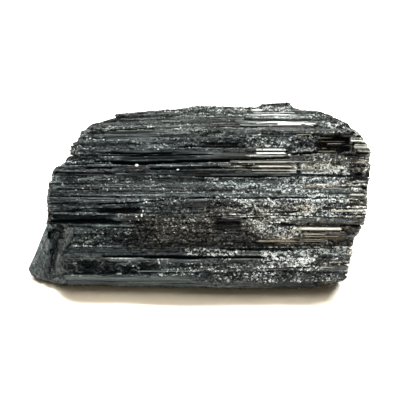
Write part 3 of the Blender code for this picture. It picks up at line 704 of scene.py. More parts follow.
# %% The outline
LEFT_OUTLINE = [
    (0.4, -44.4), (1.5, -46.4), (3.9, -49), (5.4, -49.6), (8.5, -48.3), (13.2, -46.2), (17.9, -44.8),
    (21.4, -44.2), (26.1, -44.6), (30.8, -43.9), (34.3, -42.6), (35.4, -41.7), (35.9, -39.7), (38.9, -37.9),
    (41.3, -37.4), (42.6, -37), (44.8, -35.6), (46, -33.9), (47.6, -33.5), (48.2, -29), (49, -25.4),
    (50.6, -24.8),
]
RIGHT_OUTLINE = [
    (0.4, 36), (1.5, 41.8), (2.7, 43.3), (6.2, 44), (9.7, 44.8), (12, 45.1), (14.4, 45.4), (15.6, 46.8),
    (16.7, 48.1), (22.6, 49.3), (24.9, 49.5), (29, 49.3), (31.9, 50), (37.8, 50.5), (40.1, 50.5),
    (41.3, 49.9), (43.6, 49.1), (44.8, 48.2), (46, 46.9), (46.6, 44.5), (48.3, 43.5),
]
CREST = [
    (-33.5, 45.7), (-31.2, 48), (-26.5, 48.8), (-25.3, 49.1), (-25, 50.6), (-19.5, 50.9), (-10.2, 51.8),
    (-5.5, 52.1), (-0.8, 53), (10.9, 52.8), (14, 52.6), (17, 52.5), (18.4, 53.4), (22.6, 53.9), (26.1, 54),
    (26.8, 53.7), (27.1, 51.8), (34.3, 51.4), (36.6, 50.9), (39, 50.1), (41.3, 48.9), (43.6, 48),
    (44.8, 46), (47.2, 45.1), (49.5, 41.3),
]
BAND = 0.5
LOWEST_BAND, HIGHEST_BAND = -1.0, 54.0
WING_TOP, WING_ROOM = 18.6, 0.5
MOST_BACK, MOST_OUT = -3.4, 1.6
FADE_FROM, FADE_OVER = 18.0, 16.0
CREST_PULL = 0.92


def missing_reach(points, side, outline):
    """How far an end stops short of its outline, in bands of height."""
    across, high = seen(points)
    bands = np.arange(LOWEST_BAND, HIGHEST_BAND, BAND)
    slot = np.clip(((high - LOWEST_BAND) / BAND).astype(int), 0, len(bands) - 1)
    reached = np.full(len(bands), -np.inf)
    np.maximum.at(reached, slot, side * across)
    highs, wanted = zip(*outline)
    middle = bands + BAND / 2
    lack = side * np.interp(middle, highs, wanted) - reached
    lack[~np.isfinite(lack) | (middle > highs[-1]) | (middle < highs[0])] = 0
    if side < 0:
        lack = np.where(middle < WING_TOP, lack - WING_ROOM, lack)
    return middle, np.clip(lack, MOST_BACK, MOST_OUT)


everything = np.concatenate([skin[0].reshape(-1, 3) for skin in skins.values()])
lacks = {
    -1: missing_reach(everything, -1, LEFT_OUTLINE),
    1: missing_reach(everything, 1, RIGHT_OUTLINE),
}


def fitted(points):
    """Points brought to the outline."""
    points = points.copy()
    for side, (middle, lack) in lacks.items():
        high = seen(points)[1]
        ease = np.clip((side * points[..., 0] - FADE_FROM) / FADE_OVER, 0, 1)
        points[..., 0] += side * np.interp(high, middle, lack) * ease * ease * (3 - 2 * ease)
    across, high = seen(points)
    over = np.maximum(0, high - np.interp(across, *zip(*CREST)))
    points -= UPWARD * (over * CREST_PULL)[..., None]
    return points


skins = {name: (fitted(skin[0]), *skin[1:]) for name, skin in skins.items()}
for side, (middle, lack) in lacks.items():
    print("end", side, "shifted by up to", round(float(np.abs(lack).max()), 1), "mm")

# %% [markdown]
# The sphere's points are matched to the grid by their own angles: the angle round the axis picks the
# line, and the angle from the pole picks the ring. The return lines run straight through the inside,
# from the last outer line to the first, and stop short of the broken ends.

# %% The skin's sheets
INNER_LINES = 10
INNER_SHARE = np.array([0.9, 0.8, 0.8])


def add_object(name, data):
    """An object for a mesh, a light or a camera, linked to the scene."""
    made = bpy.data.objects.new(name, data)
    bpy.context.scene.collection.objects.link(made)
    return made


def mesh_from(name, bm):
    """A mesh of this name from a bmesh, which is let go."""
    mesh = bpy.data.meshes.new(name)
    bm.to_mesh(mesh)
    bm.free()
    return mesh


def store(mesh, values):
    """The six values on a mesh's points."""
    for title, value in zip(VALUES, values):
        layer = mesh.attributes.new(title, "FLOAT", "POINT")
        layer.data.foreach_set("value", value.astype(np.float32))


def with_inner_lines(points, values):
    """Adds the return lines that close the sheet inside the lump."""
    middle = np.array([0.0, POLE_Y, POLE_Z])
    first, last = points[0], points[-1]
    made = [points]
    for k in range(1, INNER_LINES + 1):
        share = k / (INNER_LINES + 1)
        line = last + (first - last) * share
        made.append((middle + (line - middle) * INNER_SHARE)[None])
    filled = [np.concatenate([v, np.zeros((INNER_LINES, v.shape[1]))]) for v in values]
    return np.concatenate(made), filled


def sheet(name, points, values):
    """A closed sheet from a UV sphere whose points are moved to the grid of lines and rings."""
    points, values = with_inner_lines(points, values)
    lines, rings = points.shape[:2]
    bm = bmesh.new()
    bmesh.ops.create_uvsphere(bm, u_segments=lines, v_segments=rings + 1, radius=1.0)
    mesh = mesh_from(name, bm)
    ball = np.zeros(len(mesh.vertices) * 3)
    mesh.vertices.foreach_get("co", ball)
    ball = ball.reshape(-1, 3)
    line = np.round(np.arctan2(ball[:, 1], ball[:, 0]) / math.tau * lines).astype(int) % lines
    ring = np.round(np.arccos(np.clip(ball[:, 2], -1, 1)) / math.pi * (rings + 1)).astype(int) - 1
    pole = (ring < 0) | (ring >= rings)
    ring = np.clip(ring, 0, rings - 1)
    moved = points[line, ring]
    for chosen in np.nonzero(pole)[0]:
        moved[chosen] = points[:, ring[chosen]].mean(0)
    mesh.vertices.foreach_set("co", (moved * MM).ravel())
    store(mesh, [value[line, ring] for value in values])
    mesh.update()
    turned = bmesh.new()
    turned.from_mesh(mesh)
    if turned.calc_volume(signed=True) < 0:
        bmesh.ops.reverse_faces(turned, faces=turned.faces)
    turned.to_mesh(mesh)
    turned.free()
    print(name, len(mesh.polygons), "faces")
    return add_object(name, mesh)


pieces = [sheet(name, skin[0], skin[1:]) for name, skin in skins.items()]
for piece in pieces:
    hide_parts("tourmaline_crystal")

# %% [markdown]
# Materials are node trees. One helper adds a node, sets its sockets and makes its links, so that each
# material below reads as a list of what it is made of. Colours are written as they look on a screen
# (sRGB hex) and turned to the linear numbers that the renderer works in. A pattern's scale is how many of
# its cells fit in a metre, so it is worked out from the size of one cell on the stone, in millimetres.

# %% Colour and node helpers
def linear(hex_code):
    """An sRGB hex colour as linear red, green, blue and alpha."""
    channels = [int(hex_code[k : k + 2], 16) / 255 for k in (0, 2, 4)]
    return (*[c / 12.92 if c <= 0.04045 else ((c + 0.055) / 1.055) ** 2.4 for c in channels], 1.0)


def per_metre(*sizes):
    """How many cells of these sizes in millimetres fit in a metre."""
    return [1 / (size * MM) for size in sizes]


def new_material(name):
    """A material with no nodes yet."""
    material = bpy.data.materials.new(name)
    material.use_nodes = True
    material.node_tree.nodes.clear()
    return material


def add_node(material, kind, inputs=None, stops=(), **settings):
    """A node with its settings. Inputs hold values, or (node, output) pairs to link; stops are a ramp's."""
    made = material.node_tree.nodes.new("ShaderNode" + kind)
    for key, value in settings.items():
        setattr(made, key, value)
    for _ in stops[2:]:
        made.color_ramp.elements.new(0.5)
    for k, (place, hex_code) in enumerate(stops):
        made.color_ramp.elements[k].position = place
        made.color_ramp.elements[k].color = linear(hex_code)
    for key, value in (inputs or {}).items():
        if isinstance(value, tuple) and isinstance(value[0], bpy.types.Node):
            material.node_tree.links.new(value[0].outputs[value[1]], made.inputs[key])
        else:
            made.inputs[key].default_value = value
    return made


print("linear mid grey:", round(linear("808080")[0], 3))

# %% [markdown]
# Schorl is iron-rich tourmaline, almost opaque and nearly black, with an index of 1.64. On a fresh prism
# face it is as glossy as glass, with fine lines along the prism. Where it is crushed, each grain turns its
# own way and is full of cracks, so the whole looks grey and glitters: there the colour and the normal
# change from cell to cell, in cells about half a millimetre wide. The first cell makes the patterns and
# the painted glints and blends them to one tone, the second gives the tone its colours, and the third
# makes the finish.

# %% Schorl: patterns
schorl = new_material("schorl_broken_and_striated")
SCHORL_INDEX = 1.64
place = add_node(schorl, "TexCoord")
grain, stain, shade, gloss, green, contrast = [
    add_node(schorl, "Attribute", attribute_name=title) for title in VALUES
]

# Lines along the prism, 0.4 mm apart and about 4 mm long.
line_space = add_node(schorl, "Mapping", {"Vector": (place, "Object"), "Scale": per_metre(3.846, 0.4, 0.4)})
lines = add_node(schorl, "TexNoise", {"Vector": (line_space, "Vector"), "Scale": 1.0, "Detail": 3.0})

# Crushed grains half a millimetre wide, and specks finer than that.
cell_space = add_node(
    schorl, "Mapping", {"Vector": (place, "Object"), "Scale": per_metre(0.5263, 0.4762, 0.4762)}
)
cells = add_node(schorl, "TexVoronoi", {"Vector": (cell_space, "Vector"), "Scale": 1.0})
cell_values = add_node(schorl, "SeparateColor", {"Color": (cells, "Color")})
specks = add_node(
    schorl,
    "TexNoise",
    {
        "Vector": (place, "Object"),
        "Scale": per_metre(0.3846)[0],
        "Detail": 2.0,
        "Roughness": 0.75,
    },
)
crushed = add_node(schorl, "Mix", {"Factor": 0.25, "A": (cell_values, "Red"), "B": (specks, "Fac")})
threads = add_node(schorl, "Mix", {"Factor": 0.62, "A": (lines, "Fac"), "B": (specks, "Fac")})
pattern = add_node(
    schorl, "Mix", {"Factor": (grain, "Fac"), "A": (threads, "Result"), "B": (crushed, "Result")}
)

# A sparkle is a painted glint: a bright dot painted into the tone in the middle of the odd cell a millimetre
# wide.
sparkle_space = add_node(
    schorl, "Mapping", {"Vector": (place, "Object"), "Scale": per_metre(1.0, 0.8696, 0.8696)}
)
sparkle_cells = add_node(schorl, "TexVoronoi", {"Vector": (sparkle_space, "Vector"), "Scale": 1.0})
sparkle_values = add_node(schorl, "SeparateColor", {"Color": (sparkle_cells, "Color")})
sparkle_reach = add_node(
    schorl, "MapRange", {"Value": (sparkle_values, "Red"), "From Min": 0.5, "To Min": 0.0, "To Max": 0.19}
)
sparkle = add_node(
    schorl, "Math", {0: (sparkle_cells, "Distance"), 1: (sparkle_reach, "Result")}, operation="LESS_THAN"
)

# The tone is the skin's shade value, moved by pattern and by painted glints where there is contrast.
swing = add_node(
    schorl, "Math", {0: (sparkle, "Value"), 1: 0.5, 2: (pattern, "Result")}, operation="MULTIPLY_ADD"
)
centred = add_node(schorl, "Math", {0: (swing, "Value"), 1: 0.5}, operation="SUBTRACT")
tone = add_node(
    schorl,
    "Math",
    {0: (centred, "Value"), 1: (contrast, "Fac"), 2: (shade, "Fac")},
    operation="MULTIPLY_ADD",
)
print("patterns made")

# %% [markdown]
# The same tone runs through three ramps. Clean schorl goes from black over dark grey to the silver of
# crushed grains. The second is the same with a breath of green, and the third is brown, for the iron oxide
# that sits in the hollows. Cloudy noise breaks up the stain, as it gathers where water dried.

# %% Schorl: colours
neutral = add_node(
    schorl,
    "ValToRGB",
    {"Fac": (tone, "Value")},
    [(0.0, "040405"), (0.3, "121314"), (0.5, "2A2D2C"), (0.68, "555957"), (0.84, "9CA19F"), (1.0, "E8EBE9")],
)
greenish = add_node(
    schorl,
    "ValToRGB",
    {"Fac": (tone, "Value")},
    [(0.0, "020606"), (0.3, "0B1417"), (0.5, "253031"), (0.68, "4E5A59"), (0.84, "969F9B"), (1.0, "E0E5E2")],
)
rusty = add_node(
    schorl,
    "ValToRGB",
    {"Fac": (tone, "Value")},
    [(0.0, "070604"), (0.38, "221B13"), (0.6, "665A45"), (0.8, "ADA188"), (1.0, "E7E1D2")],
)
clean = add_node(
    schorl,
    "Mix",
    {"Factor": (green, "Fac"), "A": (neutral, "Color"), "B": (greenish, "Color")},
    data_type="RGBA",
)
clouds = add_node(
    schorl, "TexNoise", {"Vector": (place, "Object"), "Scale": per_metre(9.09)[0], "Detail": 3.0}
)
cloudy_stain = add_node(schorl, "Math", {0: (stain, "Fac"), 1: (clouds, "Fac")}, operation="MULTIPLY")
stain_share = add_node(schorl, "Math", {0: (cloudy_stain, "Value"), 1: 1.5}, operation="MULTIPLY")
colour = add_node(
    schorl,
    "Mix",
    {"Factor": (stain_share, "Value"), "A": (clean, "Result"), "B": (rusty, "Color")},
    data_type="RGBA",
)
print("three ramps for one tone")

# %% [markdown]
# The finish: a glossy face is as smooth as glass, and each crushed grain has its own roughness and leans
# its own way, which is what makes a broken place glitter as the view turns. Where the shade is painted
# dark, as in the painted shade of hollows and crevices, the stone is also made to reflect next to nothing.
# The finest lines, too thin for the mesh, are a bump.

# %% Schorl: finish
reflecting = add_node(
    schorl,
    "MapRange",
    {"Value": (shade, "Fac"), "From Min": 0.02, "From Max": 0.4, "To Min": 0.06, "To Max": 0.4},
)
dullness = add_node(schorl, "MapRange", {"Value": (gloss, "Fac"), "To Min": 0.62, "To Max": 0.12})
cell_dullness = add_node(
    schorl, "MapRange", {"Value": (cell_values, "Green"), "To Min": 0.14, "To Max": 0.6}
)
mixed_dullness = add_node(
    schorl, "Mix", {"Factor": (grain, "Fac"), "A": (dullness, "Result"), "B": (cell_dullness, "Result")}
)
cell_way = add_node(schorl, "VectorMath", {0: (cells, "Color"), 1: (0.5, 0.5, 0.5)}, operation="SUBTRACT")
lean = add_node(schorl, "Math", {0: (grain, "Fac"), 1: 1.3}, operation="MULTIPLY")
leaning = add_node(
    schorl, "VectorMath", {0: (cell_way, "Vector"), "Scale": (lean, "Value")}, operation="SCALE"
)
surface = add_node(schorl, "NewGeometry")
tilted = add_node(schorl, "VectorMath", {0: (surface, "Normal"), 1: (leaning, "Vector")}, operation="ADD")
facet = add_node(schorl, "VectorMath", {0: (tilted, "Vector")}, operation="NORMALIZE")
fine_lines = add_node(
    schorl,
    "Bump",
    {"Height": (lines, "Fac"), "Strength": 0.7, "Distance": 0.12 * MM, "Normal": (facet, "Vector")},
)
schorl_surface = add_node(
    schorl,
    "BsdfPrincipled",
    {
        "Base Color": (colour, "Result"),
        "Roughness": (mixed_dullness, "Result"),
        "Specular IOR Level": (reflecting, "Result"),
        "IOR": SCHORL_INDEX,
        "Normal": (fine_lines, "Normal"),
    },
)
add_node(schorl, "OutputMaterial", {"Surface": (schorl_surface, "BSDF")})
for piece in pieces:
    piece.data.materials.append(schorl)
print("schorl has", len(schorl.node_tree.nodes), "nodes")

# %% [markdown]
# Where iron-rich water dried, some needles carry a thin golden-brown film. It is a little duller than
# clean schorl, and it lies in streaks along the needle.

# %% Iron-stained schorl
rusty_schorl = new_material("schorl_with_iron_film")
film_place = add_node(rusty_schorl, "TexCoord")
film_space = add_node(
    rusty_schorl, "Mapping", {"Vector": (film_place, "Object"), "Scale": per_metre(2.381, 0.5263, 0.5263)}
)
film = add_node(rusty_schorl, "TexNoise", {"Vector": (film_space, "Vector"), "Scale": 1.0, "Detail": 3.0})
film_shade = add_node(rusty_schorl, "Attribute", attribute_name="shade")
film_tone = add_node(rusty_schorl, "Mix", {"Factor": 0.45, "A": (film_shade, "Fac"), "B": (film, "Fac")})
film_colour = add_node(
    rusty_schorl,
    "ValToRGB",
    {"Fac": (film_tone, "Result")},
    [(0.2, "1C1811"), (0.4, "5C5341"), (0.58, "A79E86"), (0.76, "F1EDE2")],
)
film_surface = add_node(
    rusty_schorl,
    "BsdfPrincipled",
    {"Base Color": (film_colour, "Color"), "Roughness": 0.24, "IOR": SCHORL_INDEX},
)
add_node(rusty_schorl, "OutputMaterial", {"Surface": (film_surface, "BSDF")})
print("iron film made")

# %% [markdown]
# The left end breaks down into a low sloping wing. Its face is lofted: guide lines run down it, from its
# outer edge, over two worn ridges and a crevice, to the rounded edge of the front block. The crevice is
# sunk, and its shade is set near black as a painted shade. A guide is (rise, shade, places across, places
# high), from the top down. Between guides these are blended, and rays from the eye set the face on the
# solid. Where a ray misses, the depth is filled in from its neighbours.

# %% The wing's face
WING_GUIDES = [
    (0.25, 0.55,
     [-44.2, -45.3, -46.5, -47.6, -49.1, -49.9, -48.9, -47.6],
     [18.8, 16.1, 13.2, 10.3, 7, 5.3, 3.4, 2.7]),
    (0.45, 0.59,
     [-43.4, -44.2, -45.4, -46.5, -48, -48.8, -48, -46.9],
     [18.3, 15.8, 12.9, 10, 7, 5.4, 3.6, 2.5]),
    (0.2, 0.47,
     [-43, -43.8, -44.8, -45.9, -47, -47.4, -47, -46.2],
     [18, 15.7, 12.8, 9.9, 7.2, 5.6, 3.9, 2.4]),
    (0.5, 0.52,
     [-42.6, -43.4, -44, -44.4, -45.1, -45.5, -45.6, -45.4],
     [17.6, 15.4, 12.6, 9.7, 7.2, 5.6, 3.8, 2]),
    (0, 0.3,
     [-41.7, -42.6, -43.2, -43.2, -43.5, -43.8, -43.7, -43.2],
     [17.3, 15, 12, 9.4, 7.1, 5, 3.2, 1.5]),
    # The crevice: its near-black shade is painted shade.
    (-1.2, 0.03,
     [-39.8, -41, -42, -42.5, -42.7, -42.6, -42.1, -41.4],
     [16.8, 14.6, 11.8, 9.1, 6.8, 4.7, 2.8, 0.8]),
    (0.05, 0.36,
     [-37.9, -39.2, -40.5, -41.3, -41.6, -41.5, -40.9, -40.2],
     [17.6, 15.2, 12, 9.1, 6.8, 4.6, 2.4, 0.5]),
    (0, 0.45,
     [-36.8, -38, -39.3, -40.2, -40.6, -40.5, -40, -39.4],
     [17.4, 15, 12, 9.1, 6.8, 4.6, 2.4, 0.4]),
    (-0.5, 0.36,
     [-35.6, -36.8, -38.1, -39, -39.4, -39.3, -38.9, -38.4],
     [17, 14.8, 12, 9.1, 6.8, 4.6, 2.4, 0.4]),
]
WING_HOLLOWS = [(-41.6, 15.2, 2.0, 0.9, 1.8), (-42.4, 10.6, 0.9, 0.5, 1.4), (-41.6, 16.6, 2.0, 0.5, 0.3)]
ACROSS_STEPS, DOWN_STEPS = 120, 140


def along_guides(rows, values, share):
    """Values blended between guide lines: rows is how far down, share how far across, both 0 to 1."""
    down = np.array([np.interp(rows, np.linspace(0, 1, np.size(v)), np.atleast_1d(v)) for v in values])
    position = share * (len(values) - 1)
    low = np.clip(np.floor(position).astype(int), 0, len(values) - 2)
    part = position - low
    part = part * part * (3 - 2 * part)
    column = np.arange(len(rows))
    return down[low, column] * (1 - part) + down[low + 1, column] * part


def filled(row):
    """A row of numbers whose gaps are filled from the known ones beside them."""
    known = np.nonzero(np.isfinite(row))[0]
    return np.interp(np.arange(len(row)), known, row[known]) if len(known) else row


wing_bm = bmesh.new()
bmesh.ops.create_grid(wing_bm, x_segments=ACROSS_STEPS, y_segments=DOWN_STEPS, size=0.5)
spots = np.array([vert.co for vert in wing_bm.verts])
share, rows = spots[:, 0] + 0.5, 0.5 - spots[:, 1]
wing_rise, wing_shade, wing_across, wing_high = [
    along_guides(rows, values, share) for values in zip(*WING_GUIDES)
]
sights = np.array([sight_line(a, h) for a, h in zip(wing_across, wing_high)])
hits = [first_hit(EYE, sight, DISTANCE + 60) for sight in sights]
order = np.argsort(rows * 1000 + share)
table = np.array([np.nan if hit is None else hit for hit in hits])[order]
table = table.reshape(DOWN_STEPS + 1, ACROSS_STEPS + 1)
print("rays that met the wing:", int(np.isfinite(table).sum()), "of", table.size)
table = np.array([filled(row) for row in table])
table = np.array([filled(column) for column in table.T]).T
wing_depth = np.empty(len(order))
wing_depth[order] = levelled(table, 25).ravel()
wing_depth = np.minimum(wing_depth, -EYE[2] / sights[:, 2])

# %% [markdown]
# The wing is a cleaved face, rough with slanting splinters. Its points are moved towards the eye by noise
# that is stretched down the slope, and by small facets, and three hollows are sunk in it and painted darker,
# as painted shade. Extruding the face away from the eye then gives it a back, which lies inside the solid.

# %% The wing's relief
WING_VALUES = {"grain": 0.55, "gloss": 0.3, "green": 0.9, "contrast": 0.8}
WING_LIFT, WING_THICK, WING_INWARD = 0.25, 5.0, 0.9
NARROWING = 0.08

slanting = np.stack([wing_across + 0.42 * wing_high, wing_high, 0 * rows], -1)
wing_noise = smooth_noise(slanting, (0.5, 3.4, 1), 61) + 0.7 * smooth_noise(slanting, (0.3, 1.6, 1), 62)
wing_facets = mosaic(wing_across, wing_high, 0.9, 1.3, 1.3, 63)
wing_sunk = strongest(WING_HOLLOWS, wing_across, wing_high)
wing_lift = wing_rise + 0.14 * wing_noise + 0.12 * wing_facets - wing_sunk + WING_LIFT
wing_places = EYE + sights * (wing_depth - wing_lift)[:, None]
wing_places[:, 2] = np.maximum(wing_places[:, 2], 0.0)
# Painted shade: the wing's hollows are darkened.
wing_shade = np.maximum(0.03, wing_shade + 0.08 * wing_noise - 0.9 * wing_sunk)
layers = {title: wing_bm.verts.layers.float.new(title) for title in VALUES}
for vert, wing_place, tone_here in zip(wing_bm.verts, wing_places, wing_shade):
    vert.co = Vector(wing_place * MM)
    vert[layers["shade"]] = tone_here
    for title, value in WING_VALUES.items():
        vert[layers[title]] = value
backing = bmesh.ops.extrude_face_region(wing_bm, geom=wing_bm.faces[:])
behind = [item for item in backing["geom"] if isinstance(item, bmesh.types.BMVert)]
centre = sum((vert.co for vert in behind), Vector()) / len(behind)
for vert in behind:
    vert.co += Vector(-BACKWARD) * WING_THICK * MM + (centre - vert.co) * NARROWING
    vert.co.x += WING_INWARD * MM
    vert.co.z = max(vert.co.z, 0.0)
bmesh.ops.recalc_face_normals(wing_bm, faces=wing_bm.faces)
wing = add_object("wing_face", mesh_from("wing_face", wing_bm))
wing.data.materials.append(schorl)
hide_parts("tourmaline_crystal")
pieces.append(wing)
print("wing_face", len(wing.data.polygons), "faces")

# %% [markdown]
# Small things are made in many copies. A bmesh operator gets slower as its mesh grows, so they are made
# in batches, and each batch is added to the whole. Every copy carries the values of the place it sits on.

# %% Batches of small shapes
BATCH = 150


def piece_from(name, batches, per_copy, values, material):
    """One piece from batches of copies with per_copy points each; values has one row for each copy."""
    whole = bmesh.new()
    for batch in batches:
        part = bpy.data.meshes.new("batch")
        batch.to_mesh(part)
        batch.free()
        whole.from_mesh(part)
        bpy.data.meshes.remove(part)
    bmesh.ops.scale(whole, vec=(MM, MM, MM), verts=whole.verts)
    for vert in whole.verts:
        vert.co.z = max(vert.co.z, 0.0)
    bmesh.ops.recalc_face_normals(whole, faces=whole.faces)
    mesh = mesh_from(name, whole)
    store(mesh, np.repeat(np.array(values).T, per_copy, axis=1))
    mesh.materials.append(material)
    pieces.append(add_object(name, mesh))
    print(name, len(mesh.polygons), "faces")


def random_turn(rng):
    """A turn by any angle about any axis."""
    axis = Vector(rng.normal(size=3)).normalized()
    return Matrix.Rotation(rng.uniform(0, math.tau), 4, axis)


# %% [markdown]
# Some striations stand free as needles: thin six-sided prisms with a clean broken end, lying along the
# lump. A cone with nearly equal radii is such a prism. Each is put down at its place on the skin, half
# sunk, and turned to follow the skin from its start to its end. Then its broken end is slanted. The lists
# hold needles with a place of their own: (start, end, high, radius, rise), and how pale a golden one is.

# %% Needles
GLOSSY_NEEDLES = [
    (18.5, 26.4, 53.3, 0.4, 0.1), (14, 28.2, 36.3, 0.12, 0.3), (15, 28, 34.8, 0.12, 0.35),
    (-1, 26, 34.4, 0.14, 0.1),
]
GOLDEN_NEEDLES = [
    (28.5, 33, 44.6, 0.16, 0.2, 0.7), (34, 38.8, 43.6, 0.14, 0.1, 0.3), (35.2, 42.4, 42.6, 0.12, 0.1, 0.2),
    (37.6, 42.8, 41.9, 0.14, 0.1, 0.55), (35, 37.4, 40.5, 0.16, 0.2, 0.5), (35, 40, 39.7, 0.16, 0.2, 0.5),
    (44.6, 47.4, 42.7, 0.2, 0.3, 0.9), (27.6, 46.9, 34.6, 0.1, 0.12, 0.5), (27.5, 35, 29.2, 0.14, 0.1, 0.4),
    (31.4, 35.6, 29.6, 0.2, 0.1, 0.6), (38.5, 44.6, 30.2, 0.2, 0.15, 0.65),
    (38.6, 45.6, 22.2, 0.24, 0.2, 0.6), (27.8, 41.4, 17.35, 0.36, 0.4, 0.9), (31, 41, 15, 0.16, 0.3, 0.3),
    (35.5, 42.6, 14.2, 0.16, 0.3, 0.3), (28.6, 37, 13.5, 0.14, 0.3, 0.2),
    (35.5, 39.6, 5.9, 0.18, 0.15, 0.5), (38.8, 41.6, 7.4, 0.16, 0.15, 0.5), (36, 38.4, 2.1, 0.2, 0.1, 0.6),
]
FRONT = ("skin_front", "skin_top")
LEVELLED = 0.7
NOT_ENDS = slice(FINE_RINGS, -FINE_RINGS)
front_places = np.concatenate([skins[name][0][:, NOT_ENDS].reshape(-1, 3) for name in FRONT])
front_ways = np.concatenate([np.repeat(bare[name][1], FINE_STATIONS, axis=0) for name in FRONT])
front_values = np.concatenate(
    [np.stack(skins[name][1:], -1)[:, NOT_ENDS].reshape(-1, len(VALUES)) for name in FRONT]
)
front_seen = np.stack(seen(front_places), -1)


def on_skin(across, high):
    """The number of the skin's point nearest to this place."""
    away = np.abs(front_seen[:, 0] - across) + 2.5 * np.abs(front_seen[:, 1] - high)
    return int(np.argmin(away))


def lay_needle(bm, rng, start, end, high, radius, rise):
    """One six-sided needle from one place across to another, at this height; returns where it starts."""
    first, last = on_skin(start, high), on_skin(end, high)
    from_point, to_point = Vector(front_places[first]), Vector(front_places[last])
    out = Vector((0.0, *front_ways[first]))
    run = (to_point - from_point) * Vector((1.0, LEVELLED, LEVELLED))
    centre = (from_point + to_point) / 2 + out * (rise - radius * 0.3)
    turn = run.to_track_quat("Z", "Y").to_matrix().to_4x4()
    roll = Matrix.Rotation(rng.uniform(0, math.tau), 4, "Z")
    made = bmesh.ops.create_cone(
        bm,
        cap_ends=True,
        segments=6,
        radius1=radius,
        radius2=radius * rng.uniform(0.8, 1.0),
        depth=run.length,
        matrix=Matrix.Translation(centre) @ turn @ roll,
    )
    slant_y, slant_z = rng.uniform(-0.6, 0.6), rng.uniform(-0.6, 0.6)
    for vert in made["verts"]:
        off = vert.co - centre
        vert.co.x += slant_y * off.y + slant_z * off.z
    return first


print(len(GLOSSY_NEEDLES) + len(GOLDEN_NEEDLES), "needles with a place of their own")

# %% [markdown]
# Besides the listed needles, a few hundred more are thrown at random over the best side, each with the
# values of the skin it lies on. None is laid where the stone is crushed to grains or in a black hollow.

# %% Needles laid on the skin
RANDOM_NEEDLES = 300

needle_rng = np.random.default_rng(31)
glossy, golden = bmesh.new(), bmesh.new()
glossy_values, golden_values = [], []
for needle in GLOSSY_NEEDLES:
    lay_needle(glossy, needle_rng, *needle)
    glossy_values.append((0.0, 0.0, 0.5, 1.0, 0.3, 0.4))
for *needle, paleness in GOLDEN_NEEDLES:
    lay_needle(golden, needle_rng, *needle)
    golden_values.append((0.0, 1.0, paleness, 0.8, 0.0, 0.4))
for _ in range(RANDOM_NEEDLES):
    high = needle_rng.uniform(1, 49)
    left = np.interp(high, *zip(*LEFT_OUTLINE)) + (8.5 if high < WING_TOP else 2.0)
    right = np.interp(high, *zip(*RIGHT_OUTLINE)) - 2.0
    start = needle_rng.uniform(left, right - 3)
    end = min(start + needle_rng.uniform(3, 18), right)
    radius = needle_rng.uniform(0.1, 0.24)
    grain_here, _, shade_here = front_values[on_skin((start + end) / 2, high)][:3]
    if grain_here > 0.7 or shade_here < 0.1:
        continue
    first = lay_needle(glossy, needle_rng, start, end, high, radius, radius * 0.3)
    _, stain_here, shade_here, _, green_here, _ = front_values[first]
    shade_here = min(shade_here, 0.55) + needle_rng.uniform(-0.1, 0.15)
    glossy_values.append((0.0, stain_here, shade_here, 0.4, green_here, 0.6))
piece_from("needles_glossy", [glossy], 12, glossy_values, schorl)
piece_from("needles_golden", [golden], 12, golden_values, rusty_schorl)

# %% [markdown]
# The crushed places are covered with grains, each a small broken crystal with flat faces. They are what
# glitters. A cube, stretched differently along three turned axes, makes each one. They are thrown at
# random over the skin, more where it is marked as granular, and each is half sunk. One that sits alone on
# a smooth face is darker and duller, because it would catch the eye there.

# %% Grains
LONGEST_SPIKE = 0.35


def facing(points):
    """The skin's own outward directions and the area at each of its points, which is 0 on a spike."""
    down = np.gradient(points, axis=0)
    along_x = np.gradient(points, axis=1)
    normal = np.cross(down, along_x)
    area = np.linalg.norm(normal, axis=-1)
    normal /= np.maximum(area, 1e-9)[..., None]
    beside = (points[:-2, 1:-1] + points[2:, 1:-1] + points[1:-1, :-2] + points[1:-1, 2:]) / 4
    spike = np.linalg.norm(points[1:-1, 1:-1] - beside, axis=-1) > LONGEST_SPIKE
    area[1:-1, 1:-1] *= ~spike
    middle = points - np.array([0.0, POLE_Y, POLE_Z + 4])
    normal *= np.where((normal * middle).sum(-1) < 0, -1, 1)[..., None]
    return normal.reshape(-1, 3), area.ravel()


def scatter_grains(name, sheet_names, count, sizes, seed):
    """Small angular grains, half sunk in the skin where its strength says so."""
    rng = np.random.default_rng(seed)
    places = np.concatenate([skins[title][0].reshape(-1, 3) for title in sheet_names])
    values = np.concatenate(
        [np.stack(skins[title][1:], -1).reshape(-1, len(VALUES)) for title in sheet_names]
    )
    ways, areas = zip(*[facing(skins[title][0]) for title in sheet_names])
    ways, areas = np.concatenate(ways), np.concatenate(areas)
    weight = areas * values[:, 0] ** 1.5 * np.clip(values[:, 2] * 2, 0.1, 1)
    chosen = rng.choice(len(places), count, p=weight / weight.sum())
    batches, rows = [], []
    for start in range(0, count, BATCH):
        bm = bmesh.new()
        for spot in chosen[start : start + BATCH]:
            size = rng.uniform(*sizes) * (0.6 if abs(ways[spot][0]) > 0.6 else 1.0)
            stretch = Matrix.Diagonal((*(rng.uniform(0.5, 1.4, 3) * size), 1.0))
            centre = Vector(places[spot] + ways[spot] * size * 0.12)
            centre.z = max(centre.z, size * 1.2)
            spin = Matrix.Translation(centre) @ random_turn(rng)
            bmesh.ops.create_cube(bm, size=2.0, matrix=spin @ stretch @ random_turn(rng))
            grain_here, stain_here, shade_here, _, green_here, _ = values[spot]
            sparkle = rng.uniform(0, 1) * min(1.0, 0.15 + 1.2 * grain_here)
            shade_here *= rng.uniform(0.4, 1.7) * (0.75 if grain_here < 0.35 else 1.0)
            rows.append((0.25, stain_here, shade_here, sparkle, green_here, 0.5))
        batches.append(bm)
    piece_from(name, batches, 8, rows, schorl)


scatter_grains("grains_front", ("skin_front", "skin_top"), 13000, (0.08, 0.185), 41)
scatter_grains("grains_back", ("skin_back",), 3000, (0.14, 0.34), 42)

